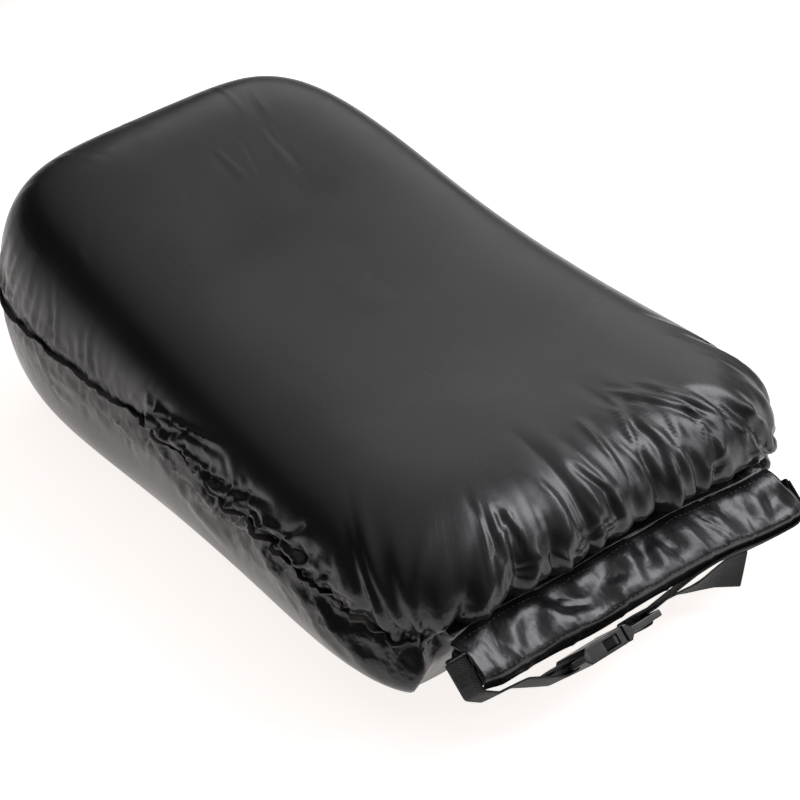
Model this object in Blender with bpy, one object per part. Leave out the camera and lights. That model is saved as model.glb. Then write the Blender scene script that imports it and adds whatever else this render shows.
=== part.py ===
"""A stuffed roll-top packing sack, lying on its back, with a one-strap buckle closure.

Frame: metres, +Z up, +X from the base end towards the rolled mouth, +Y across the sack.
The origin is on the flat underside, in the middle of the body.
"""

import math

import bmesh
import bpy
from mathutils import Matrix, Vector

# Body: a tube of coated cloth, stuffed full
BODY_LENGTH = 0.500
BASE_X = -0.255
HALF_WIDTH_BASE = 0.155
HALF_WIDTH_MIDDLE = 0.152
HALF_WIDTH_MOUTH = 0.186
HEIGHT_BASE = 0.202
HEIGHT_MIDDLE = 0.138
HEIGHT_MOUTH = 0.133
SEAM_HEIGHT_BASE = 0.085
SEAM_HEIGHT_MOUTH = 0.054
SEAM_DROP_POWER = 3.0
CORNER_POWER = 4.8
CROWN_POWER = 5.5
WALL_POWER = 2.2
FLAT_SHARE = 0.78
TURN_UP_POWER = 1.8
CROWN_START = 0.10
PANEL_THICKNESS = 0.0016
SEAM_GAP = 0.0003
CLEARANCE = 0.0003
RING_COUNT = 8
OUTLINE_POINTS = 56

# Neck: where the body is gathered into the collar
NECK_SETBACK = 0.036
NECK_UNDERCUT = 0.030
BULGE_RISE = 0.042

# Seam binding
BINDING_THICKNESS = 0.0022
BINDING_HEIGHT = 0.008
BASE_BINDING_ANGLE = 76.0
BINDING_JOINT = 0.02
RIM_PROBE = 0.01

# Load
LOAD_CLEARANCE = 0.0030

# Collar: the mouth, rolled down
ROLL_LENGTH = 0.268
ROLL_GAP = 0.0030
ROLL_FLAT = 0.016
ROLL_OUTER_RADIUS = 0.0125
ROLL_CLOTH = 0.0032
ROLL_SLACK = 0.0008
ROLL_CORE = 0.0019
ROLL_STEPS_PER_TURN = 16
HEM_THICKNESS = 0.0012
HEM_FRONT_ANGLE = 55.0
HEM_BACK_ANGLE = 16.0
HEM_STEPS = 6
STIFFENER_WIDTH = 0.013
STIFFENER_THICKNESS = 0.0012
STIFFENER_END_MARGIN = 0.004

# Strap: one ring of webbing that stands off the roll, front and below
STRAP_ANGLE = 42.0
STRAP_GAP = 0.0051
WEBBING_WIDTH = 0.025
WEBBING_THICKNESS = 0.0016
TAB_THICKNESS = 0.0020
TAB_WIDTH = 0.030
TAB_INNER_REACH = -0.008
TAB_OUTER_REACH = 0.015
ANCHOR_REACH = -0.005
SHOULDER_GAP = 0.0016
SHOULDER_RUN = 0.006
STRAP_BEND = 0.0030
SOCKET_BEND = 0.0014
LADDER_BEND = 0.0012
BARTACK_LENGTH = 0.008
BARTACK_WIDTH = 0.019
BARTACK_THICKNESS = 0.0008
BARTACK_REACH = 0.004
TAIL_END_Y = 0.088
RETURN_LENGTH = 0.018

# Side-release buckle for the webbing
BUCKLE_Y = -0.038
BUCKLE_RAIL = 0.0039
BUCKLE_THICKNESS = 0.011
BUCKLE_EDGE = 0.0009
SOCKET_LENGTH = 0.043
SOCKET_WALL = 0.0028
SOCKET_SKIN = 0.0021
SOCKET_CAVITY_DEPTH = 0.024
SOCKET_SHOULDER = 0.013
FRAME_THICKNESS = 0.0044
FRAME_TAPER = 0.0035
BAR_WIDTH = 0.0045
SLOT_WIDTH = 0.0035
SLOT_MARGIN = 0.0006
LATCH_LAND = 0.0050
WINDOW_LENGTH = 0.0120
PLUG_LENGTH = 0.032
PLUG_PLATE = 0.0032
PLUG_NARROWING = 0.0012
PRONG_ROOT_GAP = 0.0006
PRONG_LENGTH = 0.0190
PRONG_THICKNESS = 0.0040
PRONG_HEIGHT = 0.0052
BARB_REACH = 0.0024
BARB_CLEARANCE = 0.0004
GUIDE_LENGTH = 0.0180
GUIDE_WIDTH = 0.0044
GUIDE_HEIGHT = 0.0046

# Colours: linear red, green, blue
BLACK_CLOTH = (0.012, 0.012, 0.014)
SIDE_CLOTH = (0.014, 0.013, 0.013)
BINDING_CLOTH = (0.030, 0.027, 0.025)
WEBBING_BLACK = (0.008, 0.008, 0.009)
THREAD_BLACK = (0.016, 0.016, 0.018)
PLASTIC_BLACK = (0.010, 0.010, 0.011)
STIFFENER_GREY = (0.060, 0.060, 0.062)
LOAD_GREY = (0.180, 0.180, 0.185)

# Sizes that follow from the ones above
MIDDLE_X = BASE_X + BODY_LENGTH / 2
MOUTH_X = BASE_X + BODY_LENGTH
NECK_X = MOUTH_X - NECK_SETBACK
ROLL_HALF_DEPTH = ROLL_FLAT / 2 + ROLL_OUTER_RADIUS
ROLL_PITCH = ROLL_CLOTH + ROLL_SLACK
ROLL_TURNS = (ROLL_OUTER_RADIUS - ROLL_CLOTH / 2 - ROLL_CORE) / ROLL_PITCH
ROLL_REACH = ROLL_FLAT / 2 * math.cos(math.radians(STRAP_ANGLE)) + ROLL_OUTER_RADIUS
STRAP_REACH = ROLL_REACH + STRAP_GAP + BUCKLE_THICKNESS / 2
STRAP_END_REACH = ROLL_REACH + STRAP_GAP
SHOULDER_REACH = ROLL_REACH + SHOULDER_GAP
ROLL_X = NECK_X + ROLL_GAP + ROLL_HALF_DEPTH
SHELL_OUTER = SEAM_GAP / 2
BUCKLE_WIDTH = WEBBING_WIDTH + 2 * (SLOT_MARGIN + BUCKLE_RAIL)
CAVITY_HALF_WIDTH = BUCKLE_WIDTH / 2 - SOCKET_WALL
CAVITY_HALF_HEIGHT = BUCKLE_THICKNESS / 2 - SOCKET_SKIN
SLOT_HALF_WIDTH = WEBBING_WIDTH / 2 + SLOT_MARGIN
RIBBON_OFFSET = FRAME_THICKNESS / 2 + CLEARANCE + WEBBING_THICKNESS / 2
LAYER_STEP = WEBBING_THICKNESS + CLEARANCE


def clear_scene():
    for item in list(bpy.data.objects):
        bpy.data.objects.remove(item, do_unlink=True)


def material(name, colour, roughness):
    made = bpy.data.materials.new(name)
    made.use_nodes = True
    shader = made.node_tree.nodes["Principled BSDF"]
    shader.inputs["Base Color"].default_value = (*colour, 1.0)
    shader.inputs["Roughness"].default_value = roughness
    shader.inputs["Metallic"].default_value = 0.0
    return made


def add_object(name, mesh, finish, parent=None, place=None):
    made = bpy.data.objects.new(name, mesh)
    made.data.materials.append(finish)
    bpy.context.scene.collection.objects.link(made)
    if parent is not None:
        made.parent = parent
    if place is not None:
        made.matrix_local = place
    return made


def mesh_from(name, points, faces, smooth=True):
    """A closed mesh with its faces turned outwards."""
    mesh = bpy.data.meshes.new(name)
    mesh.from_pydata(points, [], faces)
    shape = bmesh.new()
    shape.from_mesh(mesh)
    bmesh.ops.remove_doubles(shape, verts=shape.verts, dist=1e-6)
    bmesh.ops.recalc_face_normals(shape, faces=shape.faces)
    shape.to_mesh(mesh)
    shape.free()
    if smooth:
        mesh.shade_smooth()
        mesh.set_sharp_from_angle(angle=math.radians(35))
    return mesh


def prism(name, outline, low, high, axes=(0, 1, 2), smooth=False):
    """A closed outline in the plane of the first two axes, extruded along the third one."""
    points = []
    for level in (low, high):
        for a, b in outline:
            point = [0.0, 0.0, 0.0]
            point[axes[0]] = a
            point[axes[1]] = b
            point[axes[2]] = level
            points.append(point)
    count = len(outline)
    faces = [tuple(range(count)), tuple(range(count, 2 * count))]
    for n in range(count):
        after = (n + 1) % count
        faces.append((n, after, count + after, count + n))
    return mesh_from(name, points, faces, smooth)


def box_mesh(name, low, high):
    outline = [(low[0], low[1]), (high[0], low[1]), (high[0], high[1]), (low[0], high[1])]
    return prism(name, outline, low[2], high[2])


def cut(target, cutter_mesh, parent, operation="DIFFERENCE"):
    """Take one mesh away from an object, or join it on, with a hidden helper."""
    helper = bpy.data.objects.new(f"{target.name}_helper", cutter_mesh)
    bpy.context.scene.collection.objects.link(helper)
    helper.parent = parent
    helper.hide_render = True
    helper.display_type = "WIRE"
    modifier = target.modifiers.new("cut", "BOOLEAN")
    modifier.operation = operation
    modifier.solver = "EXACT"
    modifier.object = helper


def soften(target, width):
    modifier = target.modifiers.new("edges", "BEVEL")
    modifier.width = width
    modifier.segments = 2
    modifier.limit_method = "ANGLE"
    modifier.angle_limit = math.radians(50)


def through_three(values, share):
    """The parabola through three values at 0, a half and 1."""
    first, middle, last = values
    return (
        first * (1 - share) * (1 - 2 * share)
        + middle * 4 * share * (1 - share)
        + last * share * (2 * share - 1)
    )


def along(x):
    return (x - BASE_X) / BODY_LENGTH


def half_width(x):
    return through_three((HALF_WIDTH_BASE, HALF_WIDTH_MIDDLE, HALF_WIDTH_MOUTH), along(x))


def crown_height(x):
    return through_three((HEIGHT_BASE, HEIGHT_MIDDLE, HEIGHT_MOUTH), along(x))


def seam_height(x):
    drop = along(x) ** SEAM_DROP_POWER
    return SEAM_HEIGHT_BASE + (SEAM_HEIGHT_MOUTH - SEAM_HEIGHT_BASE) * drop


def smooth_step(share):
    share = min(1.0, max(0.0, share))
    return share * share * (3 - 2 * share)


def mouth_limit(z, inset):
    """How far forward the cloth reaches at a height: least at the neck, most in the bulge above."""
    if z >= SEAM_HEIGHT_MOUTH:
        rise = smooth_step((z - SEAM_HEIGHT_MOUTH) / BULGE_RISE)
        return NECK_X + NECK_SETBACK * rise - inset
    return NECK_X - NECK_UNDERCUT * (1 - z / SEAM_HEIGHT_MOUTH) - inset


def outline_point(turn, share, inset):
    """A point of the body's plan outline, drawn in towards the middle by a share."""
    across, ahead = math.sin(turn), math.cos(turn)
    rounding = (abs(across) ** CORNER_POWER + abs(ahead) ** CORNER_POWER) ** (-1 / CORNER_POWER)
    x = MIDDLE_X + ahead * rounding * (BODY_LENGTH / 2 - inset) * share
    y = across * rounding * (half_width(x) - inset) * share
    return x, y


def top_point(turn, share, inset):
    x, y = outline_point(turn, share, inset)
    seam = seam_height(x) + SHELL_OUTER
    fall = max(0.0, 1 - share**CROWN_POWER) ** (1 / WALL_POWER)
    z = seam + (crown_height(x) - inset - seam) * fall
    return min(x, mouth_limit(z, inset)), y, z


def bottom_point(turn, share, inset):
    x, y = outline_point(turn, share, inset)
    seam = seam_height(x) - SHELL_OUTER
    climb = max(0.0, share - FLAT_SHARE) / (1 - FLAT_SHARE)
    z = inset + (seam - inset) * (1 - max(0.0, 1 - climb**TURN_UP_POWER) ** (1 / WALL_POWER))
    return min(x, mouth_limit(z, inset)), y, z


def ring_shares(start):
    """Shares from a first ring out to the rim, closer together towards the rim."""
    first = math.asin(start)
    steps = range(RING_COUNT + 1)
    return [math.sin(first + (math.pi / 2 - first) * n / RING_COUNT) for n in steps]


def outline_turn(number):
    return 2 * math.pi * (number + 0.5) / OUTLINE_POINTS


def rings_of(point_at, start, inset):
    turns = [outline_turn(n) for n in range(OUTLINE_POINTS)]
    return [[point_at(turn, share, inset) for turn in turns] for share in ring_shares(start)]


def skin(rings):
    """Points and faces of stacked rings, with one flat face across the first and the last of them."""
    count = len(rings[0])
    points = [point for ring in rings for point in ring]
    last = len(points) - count
    faces = [tuple(range(count)), tuple(range(last, len(points)))]
    for n in range(len(rings) - 1):
        for k in range(count):
            after = (k + 1) % count
            low, high = n * count, (n + 1) * count
            faces.append((low + k, low + after, high + after, high + k))
    return points, faces


def shell_mesh(name, point_at, start):
    """A panel: an outer and an inner skin, joined round the rim."""
    outer = rings_of(point_at, start, 0.0)
    inner = rings_of(point_at, start, PANEL_THICKNESS)
    points, faces = skin(outer + inner[::-1])
    return mesh_from(name, points, faces)


def build_panels(finishes):
    top = shell_mesh("top_panel", top_point, CROWN_START)
    add_object("top_panel", top, finishes["cloth"])
    bottom = shell_mesh("bottom_panel", bottom_point, FLAT_SHARE)
    add_object("bottom_panel", bottom, finishes["side_cloth"])


def build_load(finishes):
    """What the sack is stuffed with: the body's own shape, shrunk inwards."""
    upper = rings_of(top_point, CROWN_START, 0.0)
    lower = rings_of(bottom_point, FLAT_SHARE, 0.0)
    points, faces = skin(upper[:-1] + lower[::-1])
    mesh = mesh_from("packed_load", points, faces)
    depth = PANEL_THICKNESS + LOAD_CLEARANCE
    shrunk = [point.co - point.normal * depth for point in mesh.vertices]
    for point, place in zip(mesh.vertices, shrunk):
        point.co = (min(place.x, NECK_X - depth), place.y, place.z)
    add_object("packed_load", mesh, finishes["load"])


def rim_corner(number):
    """One of the rim's points, and its outward direction in plan."""
    turn = outline_turn(number)
    before = top_point(turn - RIM_PROBE, 1.0, 0.0)
    after = top_point(turn + RIM_PROBE, 1.0, 0.0)
    tangent = Vector((after[0] - before[0], after[1] - before[1], 0.0)).normalized()
    x, y, _ = top_point(turn, 1.0, 0.0)
    return Vector((x, y, seam_height(x))), Vector((tangent.y, -tangent.x, 0.0))


def rim_frame(position):
    """The rim between its points, along the panels' own straight edges."""
    number = math.floor(position)
    share = position - number
    place, outward = rim_corner(number)
    next_place, next_outward = rim_corner(number + 1)
    return place.lerp(next_place, share), outward.lerp(next_outward, share)


def binding_mesh(name, positions):
    rings = []
    for position in positions:
        place, outward = rim_frame(position)
        near = place + outward * CLEARANCE
        far = near + outward * BINDING_THICKNESS
        up = Vector((0.0, 0.0, BINDING_HEIGHT / 2))
        rings.append([tuple(p) for p in (near - up, far - up, far + up, near + up)])
    points, faces = skin(rings)
    return mesh_from(name, points, faces)


def first_side_point():
    """The first point of the outline, on the +Y side, that is behind the neck."""
    number = 0
    while outline_point(outline_turn(number), 1.0, 0.0)[0] > NECK_X:
        number += 1
    return number


def build_bindings(finishes):
    last = OUTLINE_POINTS - 1
    base = round(OUTLINE_POINTS * (0.5 - BASE_BINDING_ANGLE / 720))
    side = [*range(first_side_point(), base), base - BINDING_JOINT]
    runs = {
        "seam_binding_right": side,
        "seam_binding_base": range(base, last - base + 1),
        "seam_binding_left": [last - position for position in side],
    }
    for name, positions in runs.items():
        add_object(name, binding_mesh(name, positions), finishes["binding"])


def roll_point(turn, offset):
    """The rolled cloth's middle line, unwound from the outside in, and a step off it."""
    radius = ROLL_OUTER_RADIUS - ROLL_CLOTH / 2 - ROLL_PITCH * turn / (2 * math.pi) + offset
    angle = math.pi - turn
    side = math.copysign(ROLL_FLAT / 2, math.cos(angle))
    return side + radius * math.cos(angle), radius * math.sin(angle)


def roll_turns():
    count = round(ROLL_TURNS * ROLL_STEPS_PER_TURN)
    step = 2 * math.pi / ROLL_STEPS_PER_TURN
    return [(n + 0.5) * step for n in range(count)]


def build_collar(finishes, roll_empty):
    half = ROLL_LENGTH / 2
    outer = [roll_point(turn, ROLL_CLOTH / 2) for turn in roll_turns()]
    inner = [roll_point(turn, -ROLL_CLOTH / 2) for turn in roll_turns()]
    outline = outer + inner[::-1]
    roll = prism("collar_roll", outline, -half, half, axes=(0, 2, 1), smooth=True)
    add_object("collar_roll", roll, finishes["cloth"], roll_empty)

    lift = ROLL_CLOTH / 2 + CLEARANCE
    start = math.radians(90 - HEM_BACK_ANGLE)
    wrap = math.radians(HEM_BACK_ANGLE + HEM_FRONT_ANGLE)
    turns = [start + wrap * n / HEM_STEPS for n in range(HEM_STEPS + 1)]
    under = [roll_point(turn, lift) for turn in turns]
    over = [roll_point(turn, lift + HEM_THICKNESS) for turn in turns]
    hem = prism("collar_hem", under + over[::-1], -half, half, axes=(0, 2, 1), smooth=True)
    add_object("collar_hem", hem, finishes["cloth"], roll_empty)

    reach = half - STIFFENER_END_MARGIN
    for name, side in (("mouth_stiffener_front", -1), ("mouth_stiffener_back", 1)):
        middle = side * (STIFFENER_THICKNESS + CLEARANCE) / 2
        low = (-STIFFENER_WIDTH / 2, -reach, middle - STIFFENER_THICKNESS / 2)
        high = (STIFFENER_WIDTH / 2, reach, middle + STIFFENER_THICKNESS / 2)
        add_object(name, box_mesh(name, low, high), finishes["stiffener"], roll_empty)


def ribbon_outline(path, thickness):
    """Both edges of a flat ribbon seen from its side, mitred at each bend."""
    left, right = [], []
    for n, point in enumerate(path):
        here = Vector(point)
        before = Vector(path[max(n - 1, 0)])
        after = Vector(path[min(n + 1, len(path) - 1)])
        arriving = (here - before).normalized() if n > 0 else (after - here).normalized()
        leaving = (after - here).normalized() if n < len(path) - 1 else arriving
        bend = (arriving + leaving).normalized()
        normal = Vector((-bend.y, bend.x))
        widen = thickness / 2 / max(0.5, bend.dot(arriving))
        left.append(tuple(here + normal * widen))
        right.append(tuple(here - normal * widen))
    return left + right[::-1]


def rounded_path(corners, radius):
    """The corners of a route, each one cut by a short arc of four points."""
    path = [corners[0]]
    for n in range(1, len(corners) - 1):
        here = Vector(corners[n])
        back = (Vector(corners[n - 1]) - here).normalized()
        onward = (Vector(corners[n + 1]) - here).normalized()
        start, end = here + back * radius, here + onward * radius
        for step in range(4):
            share = step / 3
            path.append(tuple(start * (1 - share) ** 2 + here * 2 * share * (1 - share) + end * share**2))
    path.append(corners[-1])
    return path


def ribbon(name, corners, radius, finish, parent):
    """A ribbon along a route in the strap frame's length and reach directions."""
    path = rounded_path(corners, radius)
    outline = ribbon_outline(path, WEBBING_THICKNESS)
    half = WEBBING_WIDTH / 2
    mesh = prism(name, outline, -half, half, axes=(0, 2, 1))
    add_object(name, mesh, finish, parent)


def build_strap(finishes, strap_empty):
    """Tabs, webbing and stitching; the first coordinate runs along the strap, the last one outwards."""
    end = ROLL_LENGTH / 2
    tab_face = end + CLEARANCE + TAB_THICKNESS
    end_line = tab_face + CLEARANCE + WEBBING_THICKNESS / 2
    for name, side in (("anchor_tab_left", -1), ("anchor_tab_right", 1)):
        near, far = sorted((side * (end + CLEARANCE), side * tab_face))
        low = (near, -TAB_WIDTH / 2, TAB_INNER_REACH)
        high = (far, TAB_WIDTH / 2, TAB_OUTER_REACH)
        add_object(name, box_mesh(name, low, high), finishes["cloth"], strap_empty)
    for name, side in (("bartack_left", -1), ("bartack_right", 1)):
        start = end_line + WEBBING_THICKNESS / 2 + CLEARANCE
        near, far = sorted((side * start, side * (start + BARTACK_THICKNESS)))
        low = (near, -BARTACK_WIDTH / 2, BARTACK_REACH)
        high = (far, BARTACK_WIDTH / 2, BARTACK_REACH + BARTACK_LENGTH)
        add_object(name, box_mesh(name, low, high), finishes["thread"], strap_empty)

    shoulder = end - SHOULDER_RUN
    bar_end = BUCKLE_Y - SOCKET_LENGTH
    slot = bar_end + BAR_WIDTH + SLOT_WIDTH / 2
    outside = STRAP_REACH + RIBBON_OFFSET
    inside = STRAP_REACH - RIBBON_OFFSET
    meet = bar_end - RIBBON_OFFSET
    left = [
        (-end_line, ANCHOR_REACH),
        (-end_line, SHOULDER_REACH),
        (-shoulder, STRAP_END_REACH),
        (meet - RETURN_LENGTH, STRAP_REACH - LAYER_STEP / 2 + CLEARANCE),
        (meet, outside),
        (slot, outside),
        (slot, inside),
        (meet, inside),
        (meet - RETURN_LENGTH / 2, STRAP_REACH - LAYER_STEP - CLEARANCE),
    ]
    ribbon("webbing_left", left, SOCKET_BEND, finishes["webbing"], strap_empty)

    plug_end = BUCKLE_Y + PLUG_LENGTH
    right = [
        (plug_end + 2 * CLEARANCE, inside),
        (shoulder, STRAP_END_REACH + LAYER_STEP),
        (end_line, SHOULDER_REACH),
        (end_line, ANCHOR_REACH),
    ]
    ribbon("webbing_right", right, STRAP_BEND, finishes["webbing"], strap_empty)


def build_tail(finishes, plug_empty):
    """The free end of the webbing, with the turns that it takes round the ladder bars."""
    end_bar = PLUG_LENGTH - BAR_WIDTH
    near_slot = end_bar - SLOT_WIDTH / 2
    far_slot = near_slot - SLOT_WIDTH - BAR_WIDTH
    tail_layer = -RIBBON_OFFSET - LAYER_STEP
    tail = [
        (PLUG_LENGTH - CLEARANCE, -RIBBON_OFFSET),
        (near_slot, -RIBBON_OFFSET),
        (near_slot, RIBBON_OFFSET),
        (far_slot, RIBBON_OFFSET),
        (far_slot, tail_layer),
        (PLUG_LENGTH, tail_layer),
        (TAIL_END_Y - BUCKLE_Y, STRAP_END_REACH - STRAP_REACH - CLEARANCE),
    ]
    ribbon("webbing_tail", tail, LADDER_BEND, finishes["webbing"], plug_empty)


def buckle_block(name, profile, narrow_end):
    """A side profile extruded across the buckle, a little narrower towards the strap end."""
    half = BUCKLE_WIDTH / 2
    mesh = prism(name, profile, -half, half, axes=(0, 2, 1))
    for point in mesh.vertices:
        if abs(point.co.x - narrow_end) < BAR_WIDTH:
            point.co.y -= math.copysign(PLUG_NARROWING, point.co.y)
    return mesh


def mirrored(upper):
    """A profile's upper edge, followed back along its lower edge."""
    return upper + [(a, -b) for a, b in upper[::-1]]


def slot_mesh(name, middle):
    low = (middle - SLOT_WIDTH / 2, -SLOT_HALF_WIDTH, -BUCKLE_THICKNESS)
    high = (middle + SLOT_WIDTH / 2, SLOT_HALF_WIDTH, BUCKLE_THICKNESS)
    return box_mesh(name, low, high)


def build_socket(finishes, buckle_empty):
    frame = FRAME_THICKNESS / 2
    body = BUCKLE_THICKNESS / 2
    frame_end = -SOCKET_LENGTH + SOCKET_SHOULDER - FRAME_TAPER
    upper = [(-SOCKET_LENGTH, frame), (frame_end, frame), (frame_end + FRAME_TAPER, body), (0.0, body)]
    mesh = buckle_block("buckle_socket", mirrored(upper), -SOCKET_LENGTH)
    socket = add_object("buckle_socket", mesh, finishes["plastic"], buckle_empty)
    soften(socket, BUCKLE_EDGE)
    far_side = [
        (BAR_WIDTH, CAVITY_HALF_WIDTH),
        (-LATCH_LAND, CAVITY_HALF_WIDTH),
        (-LATCH_LAND, BUCKLE_WIDTH),
        (-LATCH_LAND - WINDOW_LENGTH, BUCKLE_WIDTH),
        (-LATCH_LAND - WINDOW_LENGTH, CAVITY_HALF_WIDTH),
        (-SOCKET_CAVITY_DEPTH, CAVITY_HALF_WIDTH),
    ]
    cavity = prism("cavity", mirrored(far_side), -CAVITY_HALF_HEIGHT, CAVITY_HALF_HEIGHT)
    cut(socket, cavity, buckle_empty)
    slot = -SOCKET_LENGTH + BAR_WIDTH + SLOT_WIDTH / 2
    cut(socket, slot_mesh("slot", slot), buckle_empty)


def build_plug(finishes, plug_empty):
    frame = FRAME_THICKNESS / 2
    plate = BUCKLE_THICKNESS / 2
    start = PRONG_ROOT_GAP
    upper = [
        (start, plate),
        (start + PLUG_PLATE, plate),
        (start + PLUG_PLATE + FRAME_TAPER, frame),
        (PLUG_LENGTH, frame),
    ]
    mesh = buckle_block("buckle_plug", mirrored(upper), PLUG_LENGTH)
    plug = add_object("buckle_plug", mesh, finishes["plastic"], plug_empty)
    soften(plug, BUCKLE_EDGE)
    near_slot = PLUG_LENGTH - BAR_WIDTH - SLOT_WIDTH / 2
    for middle in (near_slot, near_slot - SLOT_WIDTH - BAR_WIDTH):
        cut(plug, slot_mesh("slot", middle), plug_empty)
    low = (-GUIDE_LENGTH, -GUIDE_WIDTH / 2, -GUIDE_HEIGHT / 2)
    guide = box_mesh("guide", low, (start + PLUG_PLATE / 2, GUIDE_WIDTH / 2, GUIDE_HEIGHT / 2))
    cut(plug, guide, plug_empty, "UNION")


def prong_outline():
    """One arm, seen flat: root, latching barb, rounded nose and thin inner edge."""
    outer = CAVITY_HALF_WIDTH - BARB_CLEARANCE
    inner = outer - PRONG_THICKNESS
    shoulder = -LATCH_LAND - BARB_CLEARANCE
    nose = -LATCH_LAND - WINDOW_LENGTH + BARB_CLEARANCE
    crest = outer + BARB_REACH
    return [
        (0.0, inner),
        (0.0, outer),
        (shoulder, outer),
        (shoulder, crest),
        (shoulder - BARB_REACH, crest),
        (nose, outer),
        (-PRONG_LENGTH, outer - PRONG_THICKNESS / 3),
        (-PRONG_LENGTH, inner + PRONG_THICKNESS / 4),
        (nose, inner),
    ]


def prong_root():
    """The middle of an arm's root, which it bends about."""
    return CAVITY_HALF_WIDTH - BARB_CLEARANCE - PRONG_THICKNESS / 2


def build_prongs(finishes, plug_empty):
    for name, side in (("buckle_prong_upper", 1), ("buckle_prong_lower", -1)):
        outline = [(a, side * b - side * prong_root()) for a, b in prong_outline()]
        mesh = prism(name, outline, -PRONG_HEIGHT / 2, PRONG_HEIGHT / 2)
        place = Matrix.Translation((0.0, side * prong_root(), 0.0))
        add_object(name, mesh, finishes["plastic"], plug_empty, place)


def add_empty(name, place, parent=None):
    made = bpy.data.objects.new(name, None)
    bpy.context.scene.collection.objects.link(made)
    made.parent = parent
    made.matrix_local = place
    return made


def strap_axes():
    """The strap's own directions: along it, across it, and outwards from the roll."""
    tilt = math.radians(STRAP_ANGLE)
    return Matrix((
        (0.0, math.sin(tilt), math.cos(tilt), 0.0),
        (1.0, 0.0, 0.0, 0.0),
        (0.0, math.cos(tilt), -math.sin(tilt), 0.0),
        (0.0, 0.0, 0.0, 1.0),
    ))


def main():
    clear_scene()
    finishes = {
        "cloth": material("black_coated_cloth", BLACK_CLOTH, 0.42),
        "side_cloth": material("side_coated_cloth", SIDE_CLOTH, 0.42),
        "binding": material("seam_binding_cloth", BINDING_CLOTH, 0.60),
        "webbing": material("black_webbing", WEBBING_BLACK, 0.70),
        "thread": material("black_thread", THREAD_BLACK, 0.75),
        "plastic": material("black_moulded_plastic", PLASTIC_BLACK, 0.35),
        "stiffener": material("stiffener_plastic", STIFFENER_GREY, 0.50),
        "load": material("packed_clothing", LOAD_GREY, 0.90),
    }
    build_panels(finishes)
    build_load(finishes)
    build_bindings(finishes)

    roll_place = Matrix.Translation((ROLL_X, 0.0, SEAM_HEIGHT_MOUTH - ROLL_CLOTH))
    roll_empty = add_empty("roll_centre", roll_place)
    strap_empty = add_empty("strap_pivot", strap_axes(), roll_empty)
    buckle_place = Matrix.Translation((BUCKLE_Y, 0.0, STRAP_REACH))
    buckle_empty = add_empty("buckle_middle", buckle_place, strap_empty)
    plug_empty = add_empty("plug_slide", Matrix.Identity(4), buckle_empty)
    build_collar(finishes, roll_empty)
    build_strap(finishes, strap_empty)
    build_socket(finishes, buckle_empty)
    build_plug(finishes, plug_empty)
    build_tail(finishes, plug_empty)
    build_prongs(finishes, plug_empty)


main()
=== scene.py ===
"""Looks for the stuffed roll-top packing sack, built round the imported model."""

import math

import bpy
import numpy as np
from bpy.props import FloatProperty, FloatVectorProperty, IntProperty, PointerProperty
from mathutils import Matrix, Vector, noise


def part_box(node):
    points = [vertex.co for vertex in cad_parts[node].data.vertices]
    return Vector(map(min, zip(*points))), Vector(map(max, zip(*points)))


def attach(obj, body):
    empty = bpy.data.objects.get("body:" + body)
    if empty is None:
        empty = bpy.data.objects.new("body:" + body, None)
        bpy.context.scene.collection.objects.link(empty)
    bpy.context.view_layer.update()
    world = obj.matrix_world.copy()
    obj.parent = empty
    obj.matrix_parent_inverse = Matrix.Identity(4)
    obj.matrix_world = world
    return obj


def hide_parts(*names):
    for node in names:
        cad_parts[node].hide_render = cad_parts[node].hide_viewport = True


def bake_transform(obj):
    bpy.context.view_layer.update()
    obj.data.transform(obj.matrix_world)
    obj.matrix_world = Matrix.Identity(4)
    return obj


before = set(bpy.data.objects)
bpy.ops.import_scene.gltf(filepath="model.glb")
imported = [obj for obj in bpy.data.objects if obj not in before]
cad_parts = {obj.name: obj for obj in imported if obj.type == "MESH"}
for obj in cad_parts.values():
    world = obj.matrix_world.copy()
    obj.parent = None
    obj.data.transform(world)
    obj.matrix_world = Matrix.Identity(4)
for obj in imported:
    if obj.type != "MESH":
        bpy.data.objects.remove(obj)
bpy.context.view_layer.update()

bl_info = {
    "name": "Roll-top packing sack",
    "version": (1, 0, 0),
    "blender": (4, 5, 0),
    "location": "3D View > Sidebar > Sack",
    "description": "Builds a stuffed roll-top sack with its strap and buckle, and a small studio",
    "category": "Object",
}

TOP_LOW, TOP_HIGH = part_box("top_panel")
ROLL_LOW, ROLL_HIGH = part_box("collar_roll")
SOCKET_LOW, SOCKET_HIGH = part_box("buckle_socket")

BASE_X = TOP_LOW.x
MOUTH_X = TOP_HIGH.x
NECK_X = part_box("bottom_panel")[1].x
SEAM_END_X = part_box("seam_binding_left")[1].x
BASE_SEAM_END_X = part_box("seam_binding_base")[1].x
PLUG_END_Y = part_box("buckle_plug")[1].y
TAIL_END_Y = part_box("webbing_tail")[1].y
ROLL_CENTRE = (ROLL_LOW + ROLL_HIGH) / 2
ROLL_HALF = (ROLL_HIGH - ROLL_LOW) / 2
STRAP_TILT = math.radians(42.0)
STRAP_UP = Vector((math.sin(STRAP_TILT), 0.0, math.cos(STRAP_TILT)))
STRAP_OUT = Vector((math.cos(STRAP_TILT), 0.0, -math.sin(STRAP_TILT)))
STRAP_REACH = ((SOCKET_LOW + SOCKET_HIGH) / 2 - ROLL_CENTRE).dot(STRAP_OUT)


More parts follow.
